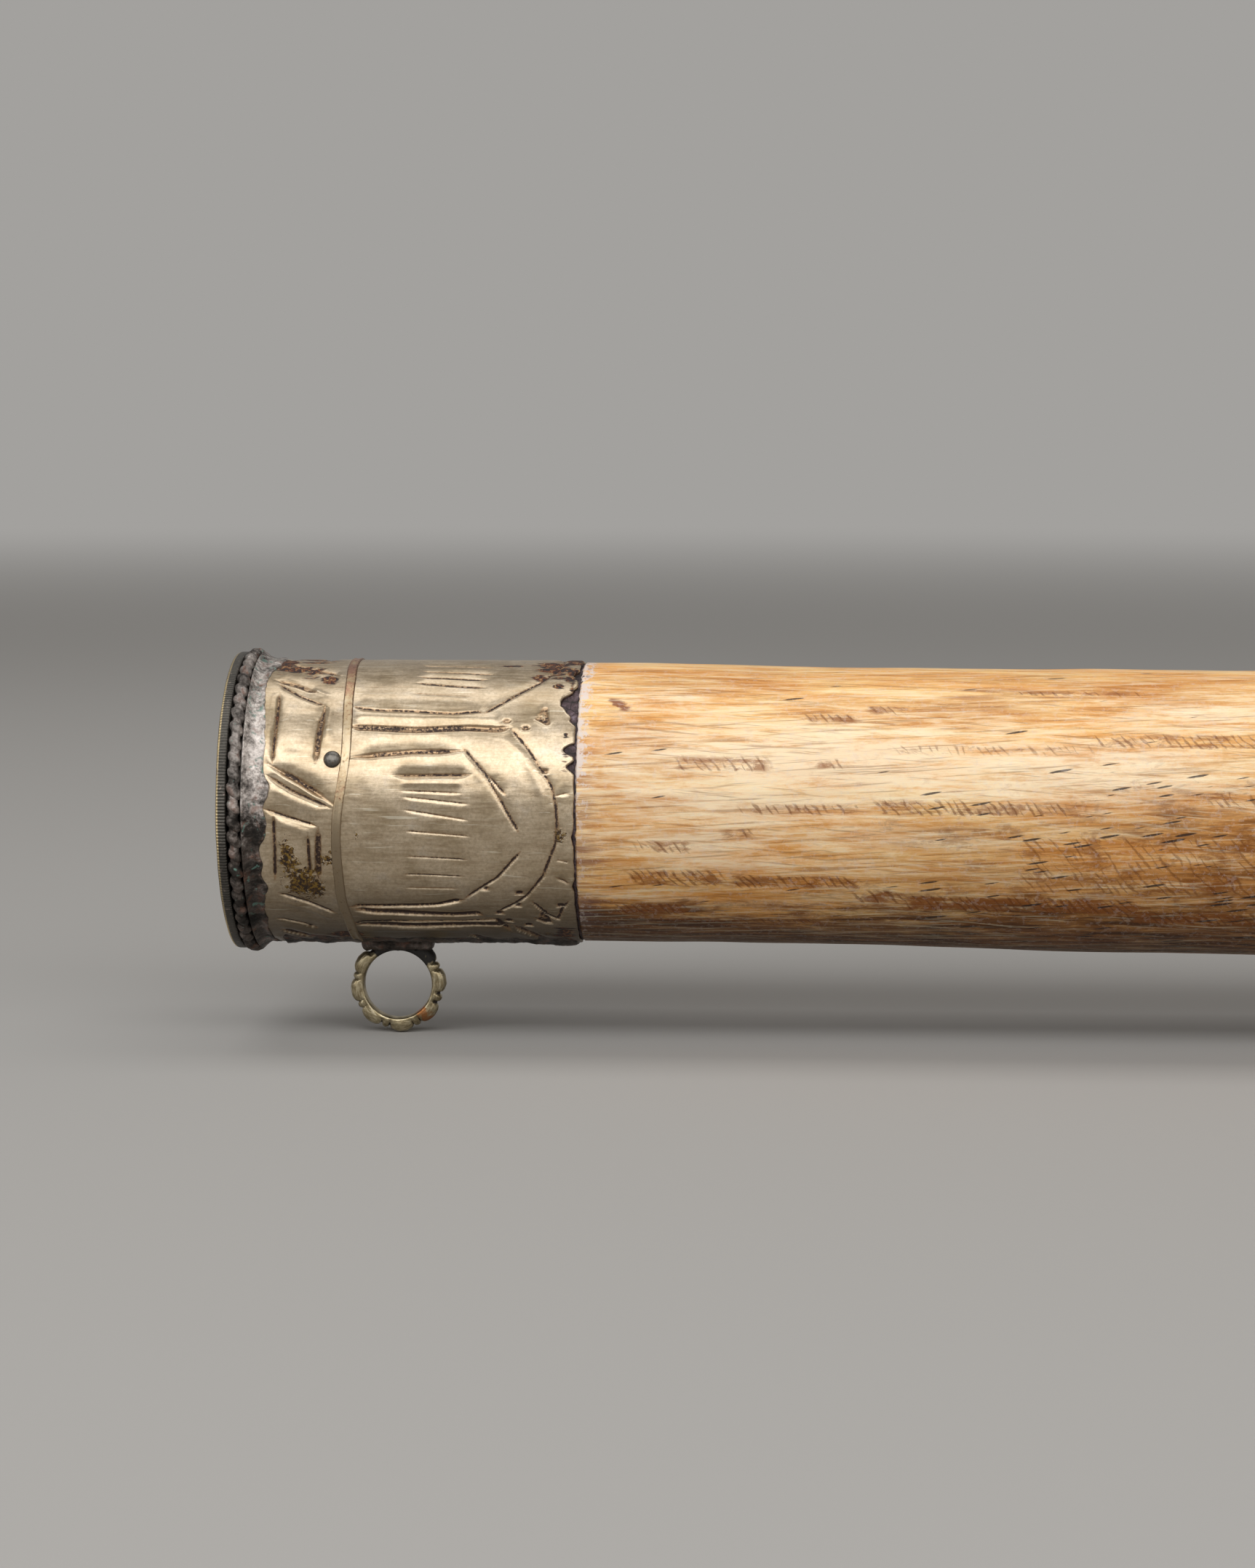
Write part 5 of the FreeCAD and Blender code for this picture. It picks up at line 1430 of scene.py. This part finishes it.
    # the knee end: open pores of the spongy bone where its skin has worn thin
    pit = add("times", add("spread", add("cells", place, 0.7), 0.12, 0.26, 1, 0),
              add("spread", tone, 0.46, 0.58, 0, 1))
    pit = add("times", pit, knee)
    bone = add("wash", pit, bone, "#5a3415")
    bone = add("wash", add("times", bored, 0.7), bone, "#8a6238")
    relief = add("bump", streak, 0.2, 0.0002)
    relief = add("bump", scratch_a, 0.12, 0.0001, relief)
    dug = add("larger", add("larger", add("times", stroke, 0.4), pore), pit)
    relief = add("bump", dug, 0.45, 0.00012, relief, invert=True)
    return {"Base Color": bone, "Roughness": add("spread", streak, 0.35, 0.65, 0.52, 0.38),
            "Normal": relief, "Coat Weight": 0.08, "Coat Roughness": 0.3,
            "Specular IOR Level": 0.28, "Subsurface Weight": 0.05, "Subsurface Scale": 0.0015}


sheet_finish = finish("silvered_brass_sheet_chased_tarnished", silvered_sheet)
collar_finish = finish("soft_solder_blackened_collar", black_solder, 0.62, 0.95)
wire_finish = finish("blackened_beaded_wire", black_solder, 0.66, 0.45)
lap_finish = finish("soft_solder_blackened_seam", black_solder, 0.68, 0.2)

rim_wire = grown("rim_wire_beaded", bead_tree(), {
    "bead count": 58, "way radius": (wire_high[2] - 0.79) * MM,
    "place": (wire_low[0] + wire_high[0]) / 2 * MM, "bead radius": 0.76 * MM,
    "bead length": 0.80 * MM, "core radius": 0.46 * MM, "dents": 0.16 * MM, "lean": 0.55, "seed": 3,
    "finish": wire_finish,
})

for piece, node, slot, look in [
    (thighbone, "thighbone", "bone", finish("aged_bone_polished_by_handling", handled_bone)),
    (pitch_lining, "pitch_lining", "pitch", finish("hardened_pitch", hardened_pitch)),
    (mouth_plate, "mouth_plate", "plate_metal", finish("filed_plate_edge", filed_plate)),
    (rim_wire, "rim_wire", "blackened_wire", wire_finish),
    (flared_collar, "flared_collar", "blackened_solder", collar_finish),
    (mouth_band, "mouth_band", "silvered_sheet", sheet_finish),
    (ridge_band, "ridge_band", "silvered_sheet", finish("silver_worn_to_copper", worn_ridge)),
    (petal_sleeve, "petal_sleeve", "silvered_sheet", sheet_finish),
    (seam_solder, "seam_solder", "blackened_solder", lap_finish),
    (hanging_ring, "hanging_ring", "ring_brass", finish("cast_brass_worn", cast_ring)),
    (ring_saddle, "ring_saddle", "blackened_solder", lap_finish),
    (pin_near, "pin_near", "pin_iron", finish("iron_pin_burnished", forged_pin)),
    (pin_far, "pin_far", "pin_iron", finish("iron_pin_burnished", forged_pin)),
]:
    piece.data.materials.clear()
    piece.data.materials.append(look)
    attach(piece, "root")
    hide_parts(node)


# floor, lights and camera
def floor_piece():
    """A flat floor that fades into the backdrop's own tone far from the object."""
    mesh = bpy.data.meshes.new("floor")
    middle, level, reach, steps = 0.15, FLOOR * MM - 0.0001, 6.0, 64
    rim = [(middle + reach * math.cos(t), reach * math.sin(t), level) for t in full_turn(steps)]
    faces = [[0, k + 1, (k + 1) % steps + 1] for k in range(steps)]
    mesh.from_pydata([(middle, 0.0, level)] + rim, [], faces)
    return in_scene("floor", mesh)


BACKDROP = "#a3a19e"


def background_rays(add):
    """1 for the rays that show the background: straight to the camera, or off metal."""
    rays = add("ShaderNodeLightPath").node.outputs
    seen = add("larger", rays["Is Camera Ray"], rays["Is Glossy Ray"])
    return add("larger", seen, rays["Is Transmission Ray"])


def studio_paper(add, place):
    """Matt paper, lit like the rest near the object and plain backdrop far from it."""
    tree = place.id_data
    lit = tree.nodes["Principled BSDF"].outputs[0]
    plain = add("ShaderNodeEmission", BACKDROP, 1.0)
    fade = add("spread", add("length", place), 450, 1500, interpolation_type="SMOOTHSTEP")
    mixed = add("ShaderNodeMixShader", fade, lit, plain)
    fill(tree, tree.nodes["Material Output"], {"Surface": mixed})
    paper = add("wash", background_rays(add), "#706c67", "#aaa8a5")
    return {"Base Color": paper, "Roughness": 0.9, "Specular IOR Level": 0.1}


floor = floor_piece()
floor.data.materials.append(finish("studio_paper", studio_paper))

world = bpy.data.worlds.new("studio")
world.use_nodes = True
bpy.context.scene.world = world
sky = world.node_tree
sky.nodes.clear()
add_to_sky = functools.partial(put, sky)
plain_back = add_to_sky("ShaderNodeBackground", BACKDROP, 1.0)
soft_back = add_to_sky("ShaderNodeBackground", "#d2cbc2", 0.22)
both = add_to_sky("ShaderNodeMixShader", background_rays(add_to_sky), soft_back, plain_back)
add_to_sky("ShaderNodeOutputWorld", {"Surface": both})


def softbox(name, aim, azimuth, elevation, distance, width, height, power):
    """A rectangular lamp that faces a point, from an angle round and above it."""
    lamp = bpy.data.lights.new(name, "AREA")
    lamp.shape, lamp.size, lamp.size_y, lamp.energy = "RECTANGLE", width, height, power
    holder = in_scene(name, lamp)
    a, e = math.radians(azimuth), math.radians(elevation)
    way = Vector((math.sin(a) * math.cos(e), -math.cos(a) * math.cos(e), math.sin(e)))
    holder.location = Vector(aim) + way * distance
    holder.rotation_euler = (-way).to_track_quat("-Z", "Y").to_euler()


softbox("key_softbox", (0.07, 0, 0), -12, 39, 0.85, 1.70, 0.60, 8.3)
softbox("overhead_softbox", (0.1, 0, 0), 180, 82, 0.95, 1.2, 0.45, 3.1)
softbox("right_fill_softbox", (0.1, 0, 0), 58, 20, 1.5, 0.9, 0.7, 2.6)
softbox("left_fill_softbox", (0.05, 0, 0), -55, 14, 1.5, 0.9, 0.7, 2.0)

# the camera's aim and distance in metres, and how far it is round to the right and above
AIM, AWAY = np.array([39.5, 0.0, 1.82]) * MM, 0.375
round_to, above = math.radians(3.6), math.radians(6.0)
back = Vector((math.sin(round_to) * math.cos(above), -math.cos(round_to) * math.cos(above),
               math.sin(above)))
lens = bpy.data.cameras.new("view")
lens.sensor_fit, lens.sensor_width, lens.lens = "AUTO", 36.0, 85.16
lens.clip_start, lens.clip_end = 0.01, 20.0
camera = in_scene("view", lens)
camera.location = Vector(AIM) + back * AWAY
camera.rotation_euler = (-back).to_track_quat("-Z", "Y").to_euler()
bpy.context.scene.camera = camera
bpy.context.scene.view_settings.view_transform = "Standard"
